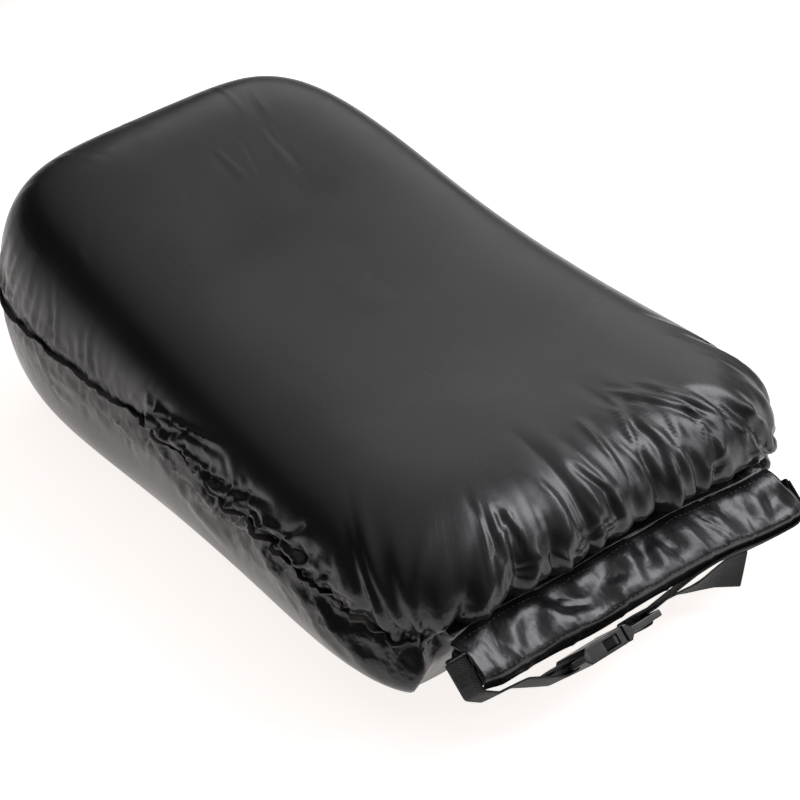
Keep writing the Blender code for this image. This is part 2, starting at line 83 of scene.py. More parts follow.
class SackSizes(bpy.types.PropertyGroup):
    near_widths: FloatVectorProperty(
        name="Near half widths", description="From the base to the mouth, on the -Y side",
        size=4, default=(0.155, 0.147, 0.161, 0.186), unit="LENGTH",
    )
    far_widths: FloatVectorProperty(
        name="Far half widths", description="From the base to the mouth, on the +Y side",
        size=4, default=(0.151, 0.155, 0.160, 0.192), unit="LENGTH",
    )
    heights: FloatVectorProperty(
        name="Heights", description="Crown height at the base, the middle and the mouth",
        size=3, default=(0.204, 0.136, 0.133), unit="LENGTH",
    )
    seam_heights: FloatVectorProperty(
        name="Seam heights", description="Height of the side seam at the base and at the mouth",
        size=2, default=(0.085, 0.054), unit="LENGTH",
    )
    groove_depth: FloatProperty(
        name="Seam groove", description="How far the side seam draws in near the mouth",
        default=0.011, unit="LENGTH",
    )
    gather_depth: FloatProperty(
        name="Gather depth", description="Depth of the folds where the cloth gathers at the neck",
        default=0.0062, unit="LENGTH",
    )
    columns: IntProperty(name="Columns", description="Points round the body", default=620)


class ClosureSizes(bpy.types.PropertyGroup):
    cloth_layer: FloatProperty(
        name="Layer", description="Thickness of one turn of the rolled cloth",
        default=0.0018, unit="LENGTH",
    )
    cloth_pitch: FloatProperty(
        name="Pitch", description="Step from one turn of the roll to the next", default=0.0033, unit="LENGTH",
    )
    turns: FloatProperty(name="Turns", description="Turns of the rolled mouth", default=2.6)
    webbing_width: FloatProperty(
        name="Webbing width", description="Width of the strap", default=0.025, unit="LENGTH",
    )
    webbing_thickness: FloatProperty(
        name="Webbing thickness", description="Thickness of the strap", default=0.0016, unit="LENGTH",
    )


class SackColours(bpy.types.PropertyGroup):
    cloth: FloatVectorProperty(
        name="Cloth", description="Coated body cloth",
        subtype="COLOR", size=3, default=(0.0075, 0.0072, 0.0082),
    )
    binding: FloatVectorProperty(
        name="Binding", description="Seam tape",
        subtype="COLOR", size=3, default=(0.030, 0.027, 0.025),
    )
    webbing: FloatVectorProperty(
        name="Webbing", description="Strap webbing",
        subtype="COLOR", size=3, default=(0.0040, 0.0040, 0.0045),
    )
    plastic: FloatVectorProperty(
        name="Plastic", description="Moulded buckle",
        subtype="COLOR", size=3, default=(0.0045, 0.0045, 0.0050),
    )
    floor: FloatVectorProperty(
        name="Floor", description="Studio floor",
        subtype="COLOR", size=3, default=(0.55, 0.55, 0.55),
    )


# ---------------------------------------------------------------- materials

FINE_BUMP = 0.00002


def socketed_group(name, inputs, outputs):
    """An empty node group with its own named sockets."""
    group = bpy.data.node_groups.new(name, "ShaderNodeTree")
    for label, kind, value in inputs:
        made = group.interface.new_socket(label, in_out="INPUT", socket_type=kind)
        if value is not None:
            made.default_value = value
    for label, kind in outputs:
        group.interface.new_socket(label, in_out="OUTPUT", socket_type=kind)
    return group, group.nodes.new("NodeGroupInput"), group.nodes.new("NodeGroupOutput")


def calc(tree, operation, first, second=None, third=None):
    """A Math node, with each input a socket or a number."""
    node = tree.nodes.new("ShaderNodeMath")
    node.operation = operation
    for slot, value in enumerate((first, second, third)):
        if value is None:
            continue
        if isinstance(value, (int, float)):
            node.inputs[slot].default_value = value
        else:
            tree.links.new(value, node.inputs[slot])
    return node.outputs[0]


def noise_field(tree, vector, scale, detail):
    node = tree.nodes.new("ShaderNodeTexNoise")
    node.inputs["Scale"].default_value = scale
    node.inputs["Detail"].default_value = detail
    node.inputs["Roughness"].default_value = 0.55
    tree.links.new(vector, node.inputs["Vector"])
    return node.outputs["Fac"]


def crinkle_group():
    """Creases of coated cloth, strong where it is crumpled, and where it is rubbed."""
    group, source, out = socketed_group(
        "cloth_crinkle",
        [("Crumple", "NodeSocketFloat", 0.5)],
        [("Height", "NodeSocketFloat"), ("Rub", "NodeSocketFloat")],
    )
    place = group.nodes.new("ShaderNodeTexCoord").outputs["Object"]
    broad = noise_field(group, place, 16.0, 1.0)
    bent = group.nodes.new("ShaderNodeTexNoise")
    bent.inputs["Scale"].default_value = 30.0
    bent.inputs["Detail"].default_value = 1.0
    group.links.new(place, bent.inputs["Vector"])
    shifted = group.nodes.new("ShaderNodeVectorMath")
    shifted.operation = "MULTIPLY_ADD"
    shifted.inputs[1].default_value = (0.016, 0.016, 0.016)
    group.links.new(bent.outputs["Color"], shifted.inputs[0])
    group.links.new(place, shifted.inputs[2])
    height = calc(group, "MULTIPLY", broad, 0.35)
    for scale, share in ((52.0, 0.9), (120.0, 0.40), (270.0, 0.16)):
        facets = group.nodes.new("ShaderNodeTexVoronoi")
        facets.feature = "F1"
        facets.inputs["Scale"].default_value = scale
        group.links.new(shifted.outputs["Vector"], facets.inputs["Vector"])
        creased = calc(group, "MULTIPLY", facets.outputs["Distance"], source.outputs["Crumple"])
        height = calc(group, "ADD", height, calc(group, "MULTIPLY", creased, share))
    group.links.new(height, out.inputs["Height"])
    rub = noise_field(group, place, 14.0, 4.0)
    group.links.new(rub, out.inputs["Rub"])
    return group


def weave_group():
    """Plain weave with thicker ripstop threads, on a UV map in metres along and across the cloth."""
    group, source, out = socketed_group(
        "cloth_weave",
        [("Thread", "NodeSocketFloat", 0.0004), ("Grid", "NodeSocketFloat", 0.0050)],
        [("Height", "NodeSocketFloat")],
    )
    coordinates = group.nodes.new("ShaderNodeUVMap")
    split = group.nodes.new("ShaderNodeSeparateXYZ")
    group.links.new(coordinates.outputs["UV"], split.inputs["Vector"])
    waves, lines = [], []
    for axis in ("X", "Y"):
        turn = calc(group, "DIVIDE", split.outputs[axis], source.outputs["Thread"])
        waves.append(calc(group, "SINE", calc(group, "MULTIPLY", turn, math.pi)))
        cell = calc(group, "FRACT", calc(group, "DIVIDE", split.outputs[axis], source.outputs["Grid"]))
        lines.append(calc(group, "GREATER_THAN", cell, 0.88))
    grid = calc(group, "MAXIMUM", lines[0], lines[1])
    weave = calc(group, "MULTIPLY", waves[0], waves[1])
    height = calc(group, "ADD", calc(group, "MULTIPLY", weave, 0.3), calc(group, "MULTIPLY", grid, 0.5))
    group.links.new(height, out.inputs["Height"])
    return group


def rib_group():
    """Ribs and selvedges of flat webbing, on a UV map in metres along and across the strap."""
    group, source, out = socketed_group(
        "webbing_ribs",
        [("Rib", "NodeSocketFloat", 0.0016), ("Half Width", "NodeSocketFloat", 0.0125)],
        [("Height", "NodeSocketFloat"), ("Edge", "NodeSocketFloat")],
    )
    coordinates = group.nodes.new("ShaderNodeUVMap")
    split = group.nodes.new("ShaderNodeSeparateXYZ")
    group.links.new(coordinates.outputs["UV"], split.inputs["Vector"])
    along = calc(group, "DIVIDE", split.outputs["X"], source.outputs["Rib"])
    slant = calc(group, "PINGPONG", calc(group, "DIVIDE", split.outputs["Y"], 0.0034), 1.0)
    row = calc(group, "SINE", calc(group, "MULTIPLY", calc(group, "ADD", along, slant), 2 * math.pi))
    edge = calc(group, "DIVIDE", calc(group, "ABSOLUTE", split.outputs["Y"]), source.outputs["Half Width"])
    selvedge = calc(group, "GREATER_THAN", edge, 0.86)
    group.links.new(calc(group, "ADD", row, calc(group, "MULTIPLY", selvedge, 1.5)), out.inputs["Height"])
    group.links.new(selvedge, out.inputs["Edge"])
    return group


def grain_group():
    """Spark-eroded texture of moulded plastic."""
    group, _, out = socketed_group(
        "mould_grain", [], [("Height", "NodeSocketFloat"), ("Wear", "NodeSocketFloat")],
    )
    place = group.nodes.new("ShaderNodeTexCoord").outputs["Object"]
    group.links.new(noise_field(group, place, 2600.0, 2.0), out.inputs["Height"])
    group.links.new(noise_field(group, place, 180.0, 4.0), out.inputs["Wear"])
    return group


def glow_group():
    """Painted light: the floor glows white under the object by its own emission, fading outwards to grey."""
    group, _, out = socketed_group("floor_glow", [], [("Glow", "NodeSocketColor")])
    reach = group.nodes.new("ShaderNodeVectorMath")
    reach.operation = "DISTANCE"
    reach.inputs[1].default_value = (0.30, 0.33, 0.0)
    group.links.new(group.nodes.new("ShaderNodeTexCoord").outputs["Object"], reach.inputs[0])
    fade = group.nodes.new("ShaderNodeMapRange")
    fade.interpolation_type = "SMOOTHSTEP"
    fade.inputs["From Min"].default_value = 0.84
    fade.inputs["From Max"].default_value = 1.20
    group.links.new(reach.outputs["Value"], fade.inputs["Value"])
    tone = group.nodes.new("ShaderNodeMix")
    tone.data_type = "RGBA"
    tone.inputs["A"].default_value = (1.0, 0.955, 0.925, 1.0)
    tone.inputs["B"].default_value = (0.22, 0.21, 0.20, 1.0)
    group.links.new(fade.outputs["Result"], tone.inputs["Factor"])
    group.links.new(tone.outputs["Result"], out.inputs["Glow"])
    return group


def placed_group(material, group):
    node = material.node_tree.nodes.new("ShaderNodeGroup")
    node.node_tree = group
    return node


def new_finish(name, roughness, sheen=0.0, sheen_roughness=0.4, specular=0.5):
    material = bpy.data.materials.new(name)
    material.use_nodes = True
    shader = material.node_tree.nodes["Principled BSDF"]
    shader.inputs["Roughness"].default_value = roughness
    shader.inputs["Specular IOR Level"].default_value = specular
    shader.inputs["Sheen Weight"].default_value = sheen
    shader.inputs["Sheen Roughness"].default_value = sheen_roughness
    return material, shader


def varied_colour(material, shader, colour, mask, lift):
    """Base colour that drifts by a mask to a tone brighter by the lift."""
    tone = material.node_tree.nodes.new("ShaderNodeMix")
    tone.data_type = "RGBA"
    tone.inputs["A"].default_value = (*colour, 1.0)
    tone.inputs["B"].default_value = (*(channel * lift for channel in colour), 1.0)
    material.node_tree.links.new(mask, tone.inputs["Factor"])
    material.node_tree.links.new(tone.outputs["Result"], shader.inputs["Base Color"])


def varied_roughness(material, shader, mask, low, high):
    spread = material.node_tree.nodes.new("ShaderNodeMapRange")
    spread.inputs["From Min"].default_value = 0.3
    spread.inputs["From Max"].default_value = 0.7
    spread.inputs["To Min"].default_value = low
    spread.inputs["To Max"].default_value = high
    material.node_tree.links.new(mask, spread.inputs["Value"])
    material.node_tree.links.new(spread.outputs["Result"], shader.inputs["Roughness"])


def raised(material, shader, layers):
    """Stacked bumps: each layer is a height socket and its distance in metres."""
    tree = material.node_tree
    previous = None
    for height, distance in layers:
        bump = tree.nodes.new("ShaderNodeBump")
        bump.inputs["Strength"].default_value = 1.0
        bump.inputs["Distance"].default_value = distance
        tree.links.new(height, bump.inputs["Height"])
        if previous is not None:
            tree.links.new(previous, bump.inputs["Normal"])
        previous = bump.outputs["Normal"]
    tree.links.new(previous, shader.inputs["Normal"])


def cloth_finish(name, colour, groups, crinkle, low, high, sheen=0.03, crumple=0.5):
    """Coated cloth; crumple is a number, or the name of the piece's own attribute."""
    material, shader = new_finish(name, (low + high) / 2, sheen=sheen, sheen_roughness=0.35)
    creases = placed_group(material, groups["crinkle"])
    if isinstance(crumple, str):
        attribute = material.node_tree.nodes.new("ShaderNodeAttribute")
        attribute.attribute_name = crumple
        material.node_tree.links.new(attribute.outputs["Fac"], creases.inputs["Crumple"])
    else:
        creases.inputs["Crumple"].default_value = crumple
    weave = placed_group(material, groups["weave"])
    varied_colour(material, shader, colour, creases.outputs["Rub"], 1.5)
    varied_roughness(material, shader, creases.outputs["Rub"], low, high)
    raised(material, shader, [(creases.outputs["Height"], crinkle), (weave.outputs["Height"], FINE_BUMP)])
    return material


def build_finishes(colours):
    """The finishes, each a material that the pieces find by its name."""
    groups = {
        "crinkle": crinkle_group(),
        "weave": weave_group(),
        "ribs": rib_group(),
        "grain": grain_group(),
    }
    cloth_finish("coated_nylon_body", colours.cloth, groups, 0.0012, 0.24, 0.36, crumple="crumple")
    cloth_finish("coated_nylon_collar", colours.cloth, groups, 0.0009, 0.22, 0.34, crumple=0.6)
    cloth_finish("seam_tape", colours.binding, groups, 0.0006, 0.45, 0.60, 0.15, crumple=0.8)

    material, shader = new_finish("ribbed_webbing", 0.60, sheen=0.04, sheen_roughness=0.5, specular=0.22)
    ribs = placed_group(material, groups["ribs"])
    rub = placed_group(material, groups["crinkle"])
    varied_colour(material, shader, colours.webbing, ribs.outputs["Edge"], 2.0)
    varied_roughness(material, shader, rub.outputs["Rub"], 0.52, 0.70)
    raised(material, shader, [(ribs.outputs["Height"], 0.00016)])

    material, shader = new_finish("bonded_thread", 0.5, sheen=0.3)
    rub = placed_group(material, groups["crinkle"])
    varied_colour(material, shader, (0.020, 0.020, 0.022), rub.outputs["Rub"], 2.2)
    varied_roughness(material, shader, rub.outputs["Rub"], 0.40, 0.60)
    raised(material, shader, [(rub.outputs["Height"], 0.0002)])

    for name, colour, low, high in (
        ("moulded_acetal", colours.plastic, 0.26, 0.42),
        ("stiffener_sheet", (0.060, 0.060, 0.062), 0.40, 0.55),
    ):
        material, shader = new_finish(name, (low + high) / 2, specular=0.4)
        grain = placed_group(material, groups["grain"])
        varied_colour(material, shader, colour, grain.outputs["Wear"], 1.8)
        varied_roughness(material, shader, grain.outputs["Wear"], low, high)
        raised(material, shader, [(grain.outputs["Height"], FINE_BUMP)])


# ---------------------------------------------------------------- mesh helpers

def piece_from(name, points, faces, finish, uv=None):
    """A piece from points and faces, with its UV map given per face corner."""
    mesh = bpy.data.meshes.new(name)
    mesh.from_pydata([tuple(p) for p in points], [], faces)
    mesh.validate()
    if uv is not None:
        layer = mesh.uv_layers.new(name="UVMap")
        layer.data.foreach_set("uv", np.asarray(uv, np.float32).ravel())
    mesh.shade_smooth()
    mesh.materials.append(bpy.data.materials[finish])
    made = bpy.data.objects.new(name, mesh)
    bpy.context.scene.collection.objects.link(made)
    return made


def only_selected(obj):
    bpy.ops.object.select_all(action="DESELECT")
    obj.select_set(True)
    bpy.context.view_layer.objects.active = obj


def face_outwards(obj):
    only_selected(obj)
    bpy.ops.object.mode_set(mode="EDIT")
    bpy.ops.mesh.select_all(action="SELECT")
    bpy.ops.mesh.normals_make_consistent(inside=False)
    bpy.ops.object.mode_set(mode="OBJECT")


def tube_faces(rows, columns):
    """Quads of a tube: rows of rings, each ring closed."""
    this_ring = np.arange(rows - 1)[:, None] * columns
    next_ring = this_ring + columns
    n = np.arange(columns)[None, :]
    after = (n + 1) % columns
    quads = np.stack([this_ring + n, this_ring + after, next_ring + after, next_ring + n], -1)
    return quads.reshape(-1, 4)


def tube_uv(rows_at, columns_at, length):
    """Matching UV corners, with the last column carried on to the full length round."""
    columns_next = np.append(columns_at[1:], length)
    u0 = np.broadcast_to(columns_at, (len(rows_at) - 1, len(columns_at)))
    u1 = np.broadcast_to(columns_next, u0.shape)
    v0 = np.broadcast_to(rows_at[:-1, None], u0.shape)
    v1 = np.broadcast_to(rows_at[1:, None], u0.shape)
    corners = [np.stack(corner, -1) for corner in ((u0, v0), (u1, v0), (u1, v1), (u0, v1))]
    return np.stack(corners, 2).reshape(-1, 2)


def run_along(points):
    """Distance along a row of points, from the first."""
    return np.concatenate([[0.0], np.cumsum(np.linalg.norm(np.diff(points, axis=0), axis=1))])


def folded_piece(name, rings, stations, gap):
    """Collar cloth with two faces: rings that go out over it and back under it, closed at both ends."""
    points = np.array(rings)
    count = points.shape[1]
    faces = tube_faces(len(stations), count).tolist()
    run = run_along(points[0])
    uv = tube_uv(stations, run, run[-1] + gap).tolist()
    for k, reverse in ((0, False), (len(stations) - 1, True)):
        for n in range(count // 2 - 1):
            quad = [k * count + n, k * count + n + 1, k * count + count - 2 - n, k * count + count - 1 - n]
            quad = quad[::-1] if reverse else quad
            faces.append(quad)
            uv += [(run[index - k * count], stations[k]) for index in quad]
    made = piece_from(name, points.reshape(-1, 3), faces, "coated_nylon_collar", uv)
    face_outwards(made)
    return made


def smooth_step(value):
    value = np.clip(value, 0.0, 1.0)
    return value * value * (3 - 2 * value)


def noise_at(points, scale, offset=(0.0, 0.0, 0.0), octaves=3):
    """Smooth noise from -1 to 1 at many points."""
    shift = Vector(offset)
    flat = points.reshape(-1, 3) * scale
    values = [noise.fractal(Vector(p) + shift, 1.0, 2.0, octaves) for p in flat]
    return np.array(values).reshape(points.shape[:-1])


# ---------------------------------------------------------------- body

CORNER_POWER = 4.85
CROWN_POWER = 7.6
SEAM_DROP_POWER = 3.0
WALL_POWER = 2.2
FLAT_SHARE = 0.80
TURN_UP_POWER = 2.2
MEAN_HALF_WIDTH = 0.16
UPPER_HEIGHT = 0.085
LOWER_HEIGHT = 0.075
POLE_SHARE = 0.08
PLANAR_ROWS = 0.110
FLOOR_SOFTENING = 0.012


def width_at(x, widths):
    stations = BASE_X + (MOUTH_X - BASE_X) * np.array([0.0, 1 / 3, 2 / 3, 1.0])
    curve = np.polyfit(stations, np.array(widths), 3)
    return np.polyval(curve, x)


def crown_at(x, heights):
    stations = BASE_X + (MOUTH_X - BASE_X) * np.array([0.0, 0.5, 1.0])
    return np.polyval(np.polyfit(stations, np.array(heights), 2), x)


def seam_at(x, seam_heights):
    share = np.clip((x - BASE_X) / (MOUTH_X - BASE_X), 0.0, 1.0)
    return seam_heights[0] + (seam_heights[1] - seam_heights[0]) * share**SEAM_DROP_POWER


def plan_point(turn, share, sizes):
    across, ahead = np.sin(turn), np.cos(turn)
    rounding = (np.abs(across) ** CORNER_POWER + np.abs(ahead) ** CORNER_POWER) ** (-1 / CORNER_POWER)
    middle, half = (BASE_X + MOUTH_X) / 2, (MOUTH_X - BASE_X) / 2
    x = middle + ahead * rounding * half * share
    wide = np.where(across > 0, width_at(x, sizes.far_widths), width_at(x, sizes.near_widths))
    return x, across * rounding * wide * share


def front_limit(y, z, sizes):
    """How far forward the cloth reaches: least at the neck behind the roll, most in the bulge above it."""
    seam = sizes.seam_heights[1] - 0.009 * smooth_step((y - 0.01) / 0.12)
    rise = smooth_step((z - seam - 0.0055) / 0.032)
    above = NECK_X + (MOUTH_X - NECK_X) * rise
    below = NECK_X - 0.028 * (1 - np.minimum(z / seam, 1.0))
    beside = smooth_step((np.abs(y) - ROLL_HALF.y + 0.004) / 0.030)
    return np.where(z >= seam, above, below) + 0.010 * beside * (1 - rise)


def soft_least(a, b, softness=0.0025):
    return -softness * np.logaddexp(-a / softness, -b / softness)


def body_grid(sizes):
    """Points of the smooth body, ring by ring from the crown to the rim and on to the underside."""
    turns = np.linspace(0, 2 * np.pi, 6001)
    x, y = plan_point(turns, 1.0, sizes)
    run = run_along(np.stack([x, y], 1))
    around = np.linspace(0, run[-1], sizes.columns, endpoint=False)
    turn = np.interp(around, run, turns)[None, :]

    share = np.linspace(0.0, 1.0, 4001)
    fall = (1 - share**CROWN_POWER) ** (1 / WALL_POWER)
    up = run_along(np.stack([share * MEAN_HALF_WIDTH, fall * UPPER_HEIGHT], 1))
    up = up[-1] - up
    high = np.linspace(0.150, 0.0, 64)
    high = np.concatenate([np.linspace(up[0] * 0.93, 0.156, 14), high])
    upper_share = np.interp(high, up[::-1], share[::-1])[:, None]

    climb = np.linspace(0.0, 1.0, 4001)
    rise = 1 - (1 - climb**TURN_UP_POWER) ** (1 / WALL_POWER)
    wide = FLAT_SHARE + (1 - FLAT_SHARE) * climb
    down = run_along(np.stack([wide * MEAN_HALF_WIDTH, rise * LOWER_HEIGHT], 1))
    down = down - down[-1]
    low = np.linspace(0.0, down[0], 31)[1:]
    lower_share = np.interp(low, down, wide)[:, None]
    flat_share = np.linspace(FLAT_SHARE, POLE_SHARE, 9)[1:, None]
    flat = down[0] - (FLAT_SHARE - flat_share[:, 0]) * MEAN_HALF_WIDTH

    x1, y1 = plan_point(turn, upper_share, sizes)
    seam = seam_at(x1, sizes.seam_heights)
    z1 = seam + (crown_at(x1, sizes.heights) - seam) * (1 - upper_share**CROWN_POWER) ** (1 / WALL_POWER)
    shares = np.concatenate([lower_share, flat_share])
    x2, y2 = plan_point(turn, shares, sizes)
    climb = np.clip((shares - FLAT_SHARE) / (1 - FLAT_SHARE), 0, 1)
    z2 = seam_at(x2, sizes.seam_heights) * (1 - (1 - climb**TURN_UP_POWER) ** (1 / WALL_POWER))
    points = np.stack([np.concatenate([x1, x2]), np.concatenate([y1, y2]), np.concatenate([z1, z2])], -1)
    points[..., 0] = soft_least(points[..., 0], front_limit(points[..., 1], points[..., 2], sizes))
    rows = np.concatenate([high, low, flat])
    shares = np.concatenate([upper_share, shares])[:, 0]
    return points, around, rows, shares, run[-1]


def grid_normals(points):
    along = np.roll(points, -1, 1) - np.roll(points, 1, 1)
    down = np.gradient(points, axis=0)
    normal = np.cross(down, along)
    return normal / np.maximum(np.linalg.norm(normal, axis=-1, keepdims=True), 1e-12)


def crease(distance, width, sharp):
    """Cross profile of a crease: a crisp crest with a shallow trough beside it."""
    q = distance / width
    return np.exp(-np.abs(q) ** sharp * 1.6) - 0.55 * np.exp(-(((q - 1.7) / 1.0) ** 2))


def add_creases(field, u, v, round_length, shares, strokes):
    """Adds strokes, each from a place (u, v) at a heading for a length, in metres on the cloth."""
    for start_u, start_v, heading, length, width, height, sharp, open_start in strokes:
        du = (u - start_u + round_length / 2) % round_length - round_length / 2
        dv = v - start_v
        keep = np.where(v > 0, shares, 1.0)
        du = du * keep
        along = (du * math.sin(heading) + dv * math.cos(heading)) / length
        aside = du * math.cos(heading) - dv * math.sin(heading)
        aside = aside + 0.10 * length * np.sin(along * 2.6 + start_u * 40)
        if open_start:
            taper = smooth_step((along + 0.15) / 0.15) * np.clip(1 - along, 0, 1) ** 1.2
        else:
            taper = np.where((along > 0) & (along < 1), np.sin(np.pi * np.clip(along, 0, 1)), 0.0) ** 0.7
        spread = width * (0.65 + 0.9 * np.clip(along, 0, 1))
        field += height * taper * crease(aside, spread, sharp)
    return field


def crease_strokes(around_at, rng):
    """Lists the creases by region; around_at gives each region's end as a place round the rim."""
    strokes = []

    def scatter(count, places, v_range, aim, lengths, widths, heights, valley_share, open_start):
        heading, spread = aim
        for _ in range(count):
            sign = -1.0 if rng.random() < valley_share else 1.0
            strokes.append((
                places[0] + (places[1] - places[0]) * rng.random(),
                v_range[0] + (v_range[1] - v_range[0]) * rng.random(),
                heading + spread * (rng.random() * 2 - 1),
                lengths[0] + (lengths[1] - lengths[0]) * rng.random() ** 1.5,
                widths[0] + (widths[1] - widths[0]) * rng.random(),
                sign * (heights[0] + (heights[1] - heights[0]) * rng.random()),
                0.85 + 0.7 * rng.random(),
                open_start,
            ))

    front = (around_at["near_front"], around_at["far_front"])
    near_corner = (around_at["near_side_front"], around_at["near_front"])
    far_corner = (around_at["far_front"], around_at["far_side_front"])
    near_side = (around_at["near_side_back"], around_at["near_side_front"])
    near_all = (around_at["near_base"], around_at["near_side_front"])
    far_all = (around_at["far_side_front"], around_at["far_base"])
    base = (around_at["base_start"], around_at["near_base"])
    whole_rim = (0.0, around_at["whole"])
    down, aslant = math.pi, math.pi / 2

    scatter(22, front, (0.0, 0.014), (0.0, 0.24),
            (0.050, 0.130), (0.0038, 0.0080), (0.0028, 0.0062), 0.40, True)
    scatter(34, front, (0.006, 0.060), (0.0, 0.55),
            (0.025, 0.075), (0.0014, 0.0034), (0.0010, 0.0024), 0.45, False)
    scatter(16, front, (0.010, 0.055), (1.2, 0.50),
            (0.015, 0.040), (0.0014, 0.0030), (0.0010, 0.0022), 0.50, False)
    for aside, wide, deep in ((-0.006, 0.0060, 0.0060), (0.016, 0.0075, 0.0080), (0.036, 0.0050, 0.0060)):
        strokes.append((far_corner[0] + aside, 0.0, 0.05, 0.085, wide, -deep, 1.3, True))
    for aside, wide, deep in ((0.012, 0.0060, 0.0070), (0.040, 0.0070, 0.0080), (0.066, 0.0055, 0.0065)):
        strokes.append((near_corner[1] + aside, -0.002, 0.0, 0.080, wide, -deep, 1.3, True))
    scatter(14, near_corner, (-0.010, 0.010), (0.0, 0.25),
            (0.045, 0.095), (0.0035, 0.0070), (0.0024, 0.0048), 0.40, True)
    scatter(14, far_corner, (0.0, 0.030), (0.1, 0.40),
            (0.040, 0.095), (0.0026, 0.0060), (0.0018, 0.0040), 0.50, True)
    scatter(40, near_side, (-0.020, 0.020), (1.35, 0.35),
            (0.030, 0.080), (0.0024, 0.0052), (0.0018, 0.0044), 0.50, False)
    scatter(34, near_side, (-0.018, 0.014), (0.0, 0.70),
            (0.018, 0.050), (0.0020, 0.0042), (0.0014, 0.0036), 0.50, False)
    scatter(110, near_all, (0.0, 0.012), (0.0, 0.25),
            (0.018, 0.060), (0.0014, 0.0036), (0.0003, 0.0010), 0.50, True)
    scatter(90, far_all, (0.0, 0.012), (0.0, 0.25),
            (0.018, 0.060), (0.0014, 0.0036), (0.0004, 0.0012), 0.50, True)
    scatter(70, base, (0.0, 0.012), (0.0, 0.40),
            (0.018, 0.055), (0.0016, 0.0040), (0.0006, 0.0018), 0.50, True)
    scatter(110, whole_rim, (-0.012, -0.002), (down, 0.45),
            (0.015, 0.045), (0.0014, 0.0036), (0.0004, 0.0013), 0.5, True)
    scatter(90, near_all, (-0.022, -0.004), (aslant, 0.55),
            (0.012, 0.040), (0.0010, 0.0024), (0.0004, 0.0011), 0.5, False)
    scatter(22, base, (0.030, 0.130), (0.6, 1.2),
            (0.020, 0.060), (0.0016, 0.0034), (0.0001, 0.0003), 0.5, False)
    return strokes


def body_relief(points, around, rows, shares, length, sizes):
    """How far each point of the cloth stands off the smooth body."""
    u = np.broadcast_to(around[None, :], points.shape[:2])
    v = np.broadcast_to(rows[:, None], points.shape[:2])
    keep = np.broadcast_to(shares[:, None], points.shape[:2])
    rim = points[int(np.argmin(np.abs(rows)))]
    x, y = rim[:, 0], rim[:, 1]

    def nearest(px, py):
        return float(around[int(np.argmin((x - px) ** 2 + (y - py) ** 2))])

    places = {
        "far_front": nearest(NECK_X, 0.135),
        "far_side_front": nearest(0.160, 0.20),
        "far_base": nearest(-0.200, 0.20),
        "near_base": nearest(-0.200, -0.20),
        "near_side_back": nearest(-0.060, -0.20),
        "near_side_front": nearest(0.160, -0.20),
        "near_front": nearest(NECK_X, -0.135),
        "whole": length,
    }
    for name in ("near_front", "near_side_front", "near_side_back", "near_base"):
        places[name] -= length
    places["base_start"] = places["far_base"] - length
    strokes = crease_strokes(places, np.random.RandomState(41))
    field = add_creases(np.zeros(points.shape[:2]), u, v, length, keep, strokes)

    ahead = smooth_step((points[..., 0] - 0.06) / 0.17)
    near = smooth_step(-points[..., 1] / 0.08)
    side = smooth_step((np.abs(points[..., 1]) - 0.10) / 0.05)
    groove_width = 0.007 + 0.011 * ahead * near
    groove = np.exp(-((v + 0.002) / groove_width) ** 2)
    depth = 0.0010 + (sizes.groove_depth * ahead * (0.35 + 0.65 * near)) * side
    field -= depth * groove
    lower_puff = np.exp(-(((v + 0.036) / 0.016) ** 2)) * ahead * near * side
    field += 0.006 * lower_puff

    rng = np.random.RandomState(7)
    pinch = np.zeros(len(around))
    front_half = 0.175
    place = -front_half
    centre = np.where(around > length / 2, around - length, around)
    while place < front_half:
        place += 0.012 + 0.020 * rng.random()
        width = 0.0035 + 0.0035 * rng.random()
        strength = 0.5 + 0.7 * rng.random()
        pinch += strength * np.exp(-np.abs((centre - place) / width) ** 1.3)
    fade = np.exp(-np.maximum(rows, 0) / 0.034) * smooth_step((rows + 0.03) / 0.03)
    at_front = smooth_step((points[..., 0] - 0.16) / 0.05)
    field -= sizes.gather_depth * 0.8 * fade[:, None] * (pinch - 0.35)[None, :] * at_front

    on_top = smooth_step(rows / 0.05)[:, None]
    field += 0.0018 * on_top * noise_at(points, 8.0, (3.1, 0.4, 7.7), 1)
    crumple = np.abs(noise_at(points, 62.0, (9.0, 2.0, 4.0), 3))
    near_seam = np.exp(-((v / 0.020) ** 2))
    field += 0.0008 * near_seam * noise_at(points, 38.0, (1.0, 5.0, 2.0), 3)
    field += (0.0012 * near_seam + 0.0018 * near_seam * ahead * near) * (0.35 - crumple)
    return field


def crumple_mask(points, rows):
    """How crumpled the cloth is: most along the seam, round the neck and base, and down the near side."""
    x, y = points[..., 0], points[..., 1]
    seam = np.exp(-((rows / 0.020) ** 2))[:, None] * 0.7
    neck = 0.35 * smooth_step((x - 0.15) / 0.08) * np.exp(-np.maximum(rows, 0) / 0.045)[:, None]
    side = smooth_step((x + 0.02) / 0.15) * smooth_step(-y / 0.12) * np.exp(-((rows / 0.035) ** 2))[:, None]
    side += 0.8 * smooth_step(-y / 0.10) * np.exp(-(((rows + 0.014) / 0.013) ** 2))[:, None]
    base = smooth_step((-0.16 - x) / 0.08) * np.exp(-np.abs(rows) / 0.05)[:, None] * 0.6
    return np.clip(seam + neck + side + base, 0.0, 1.0)


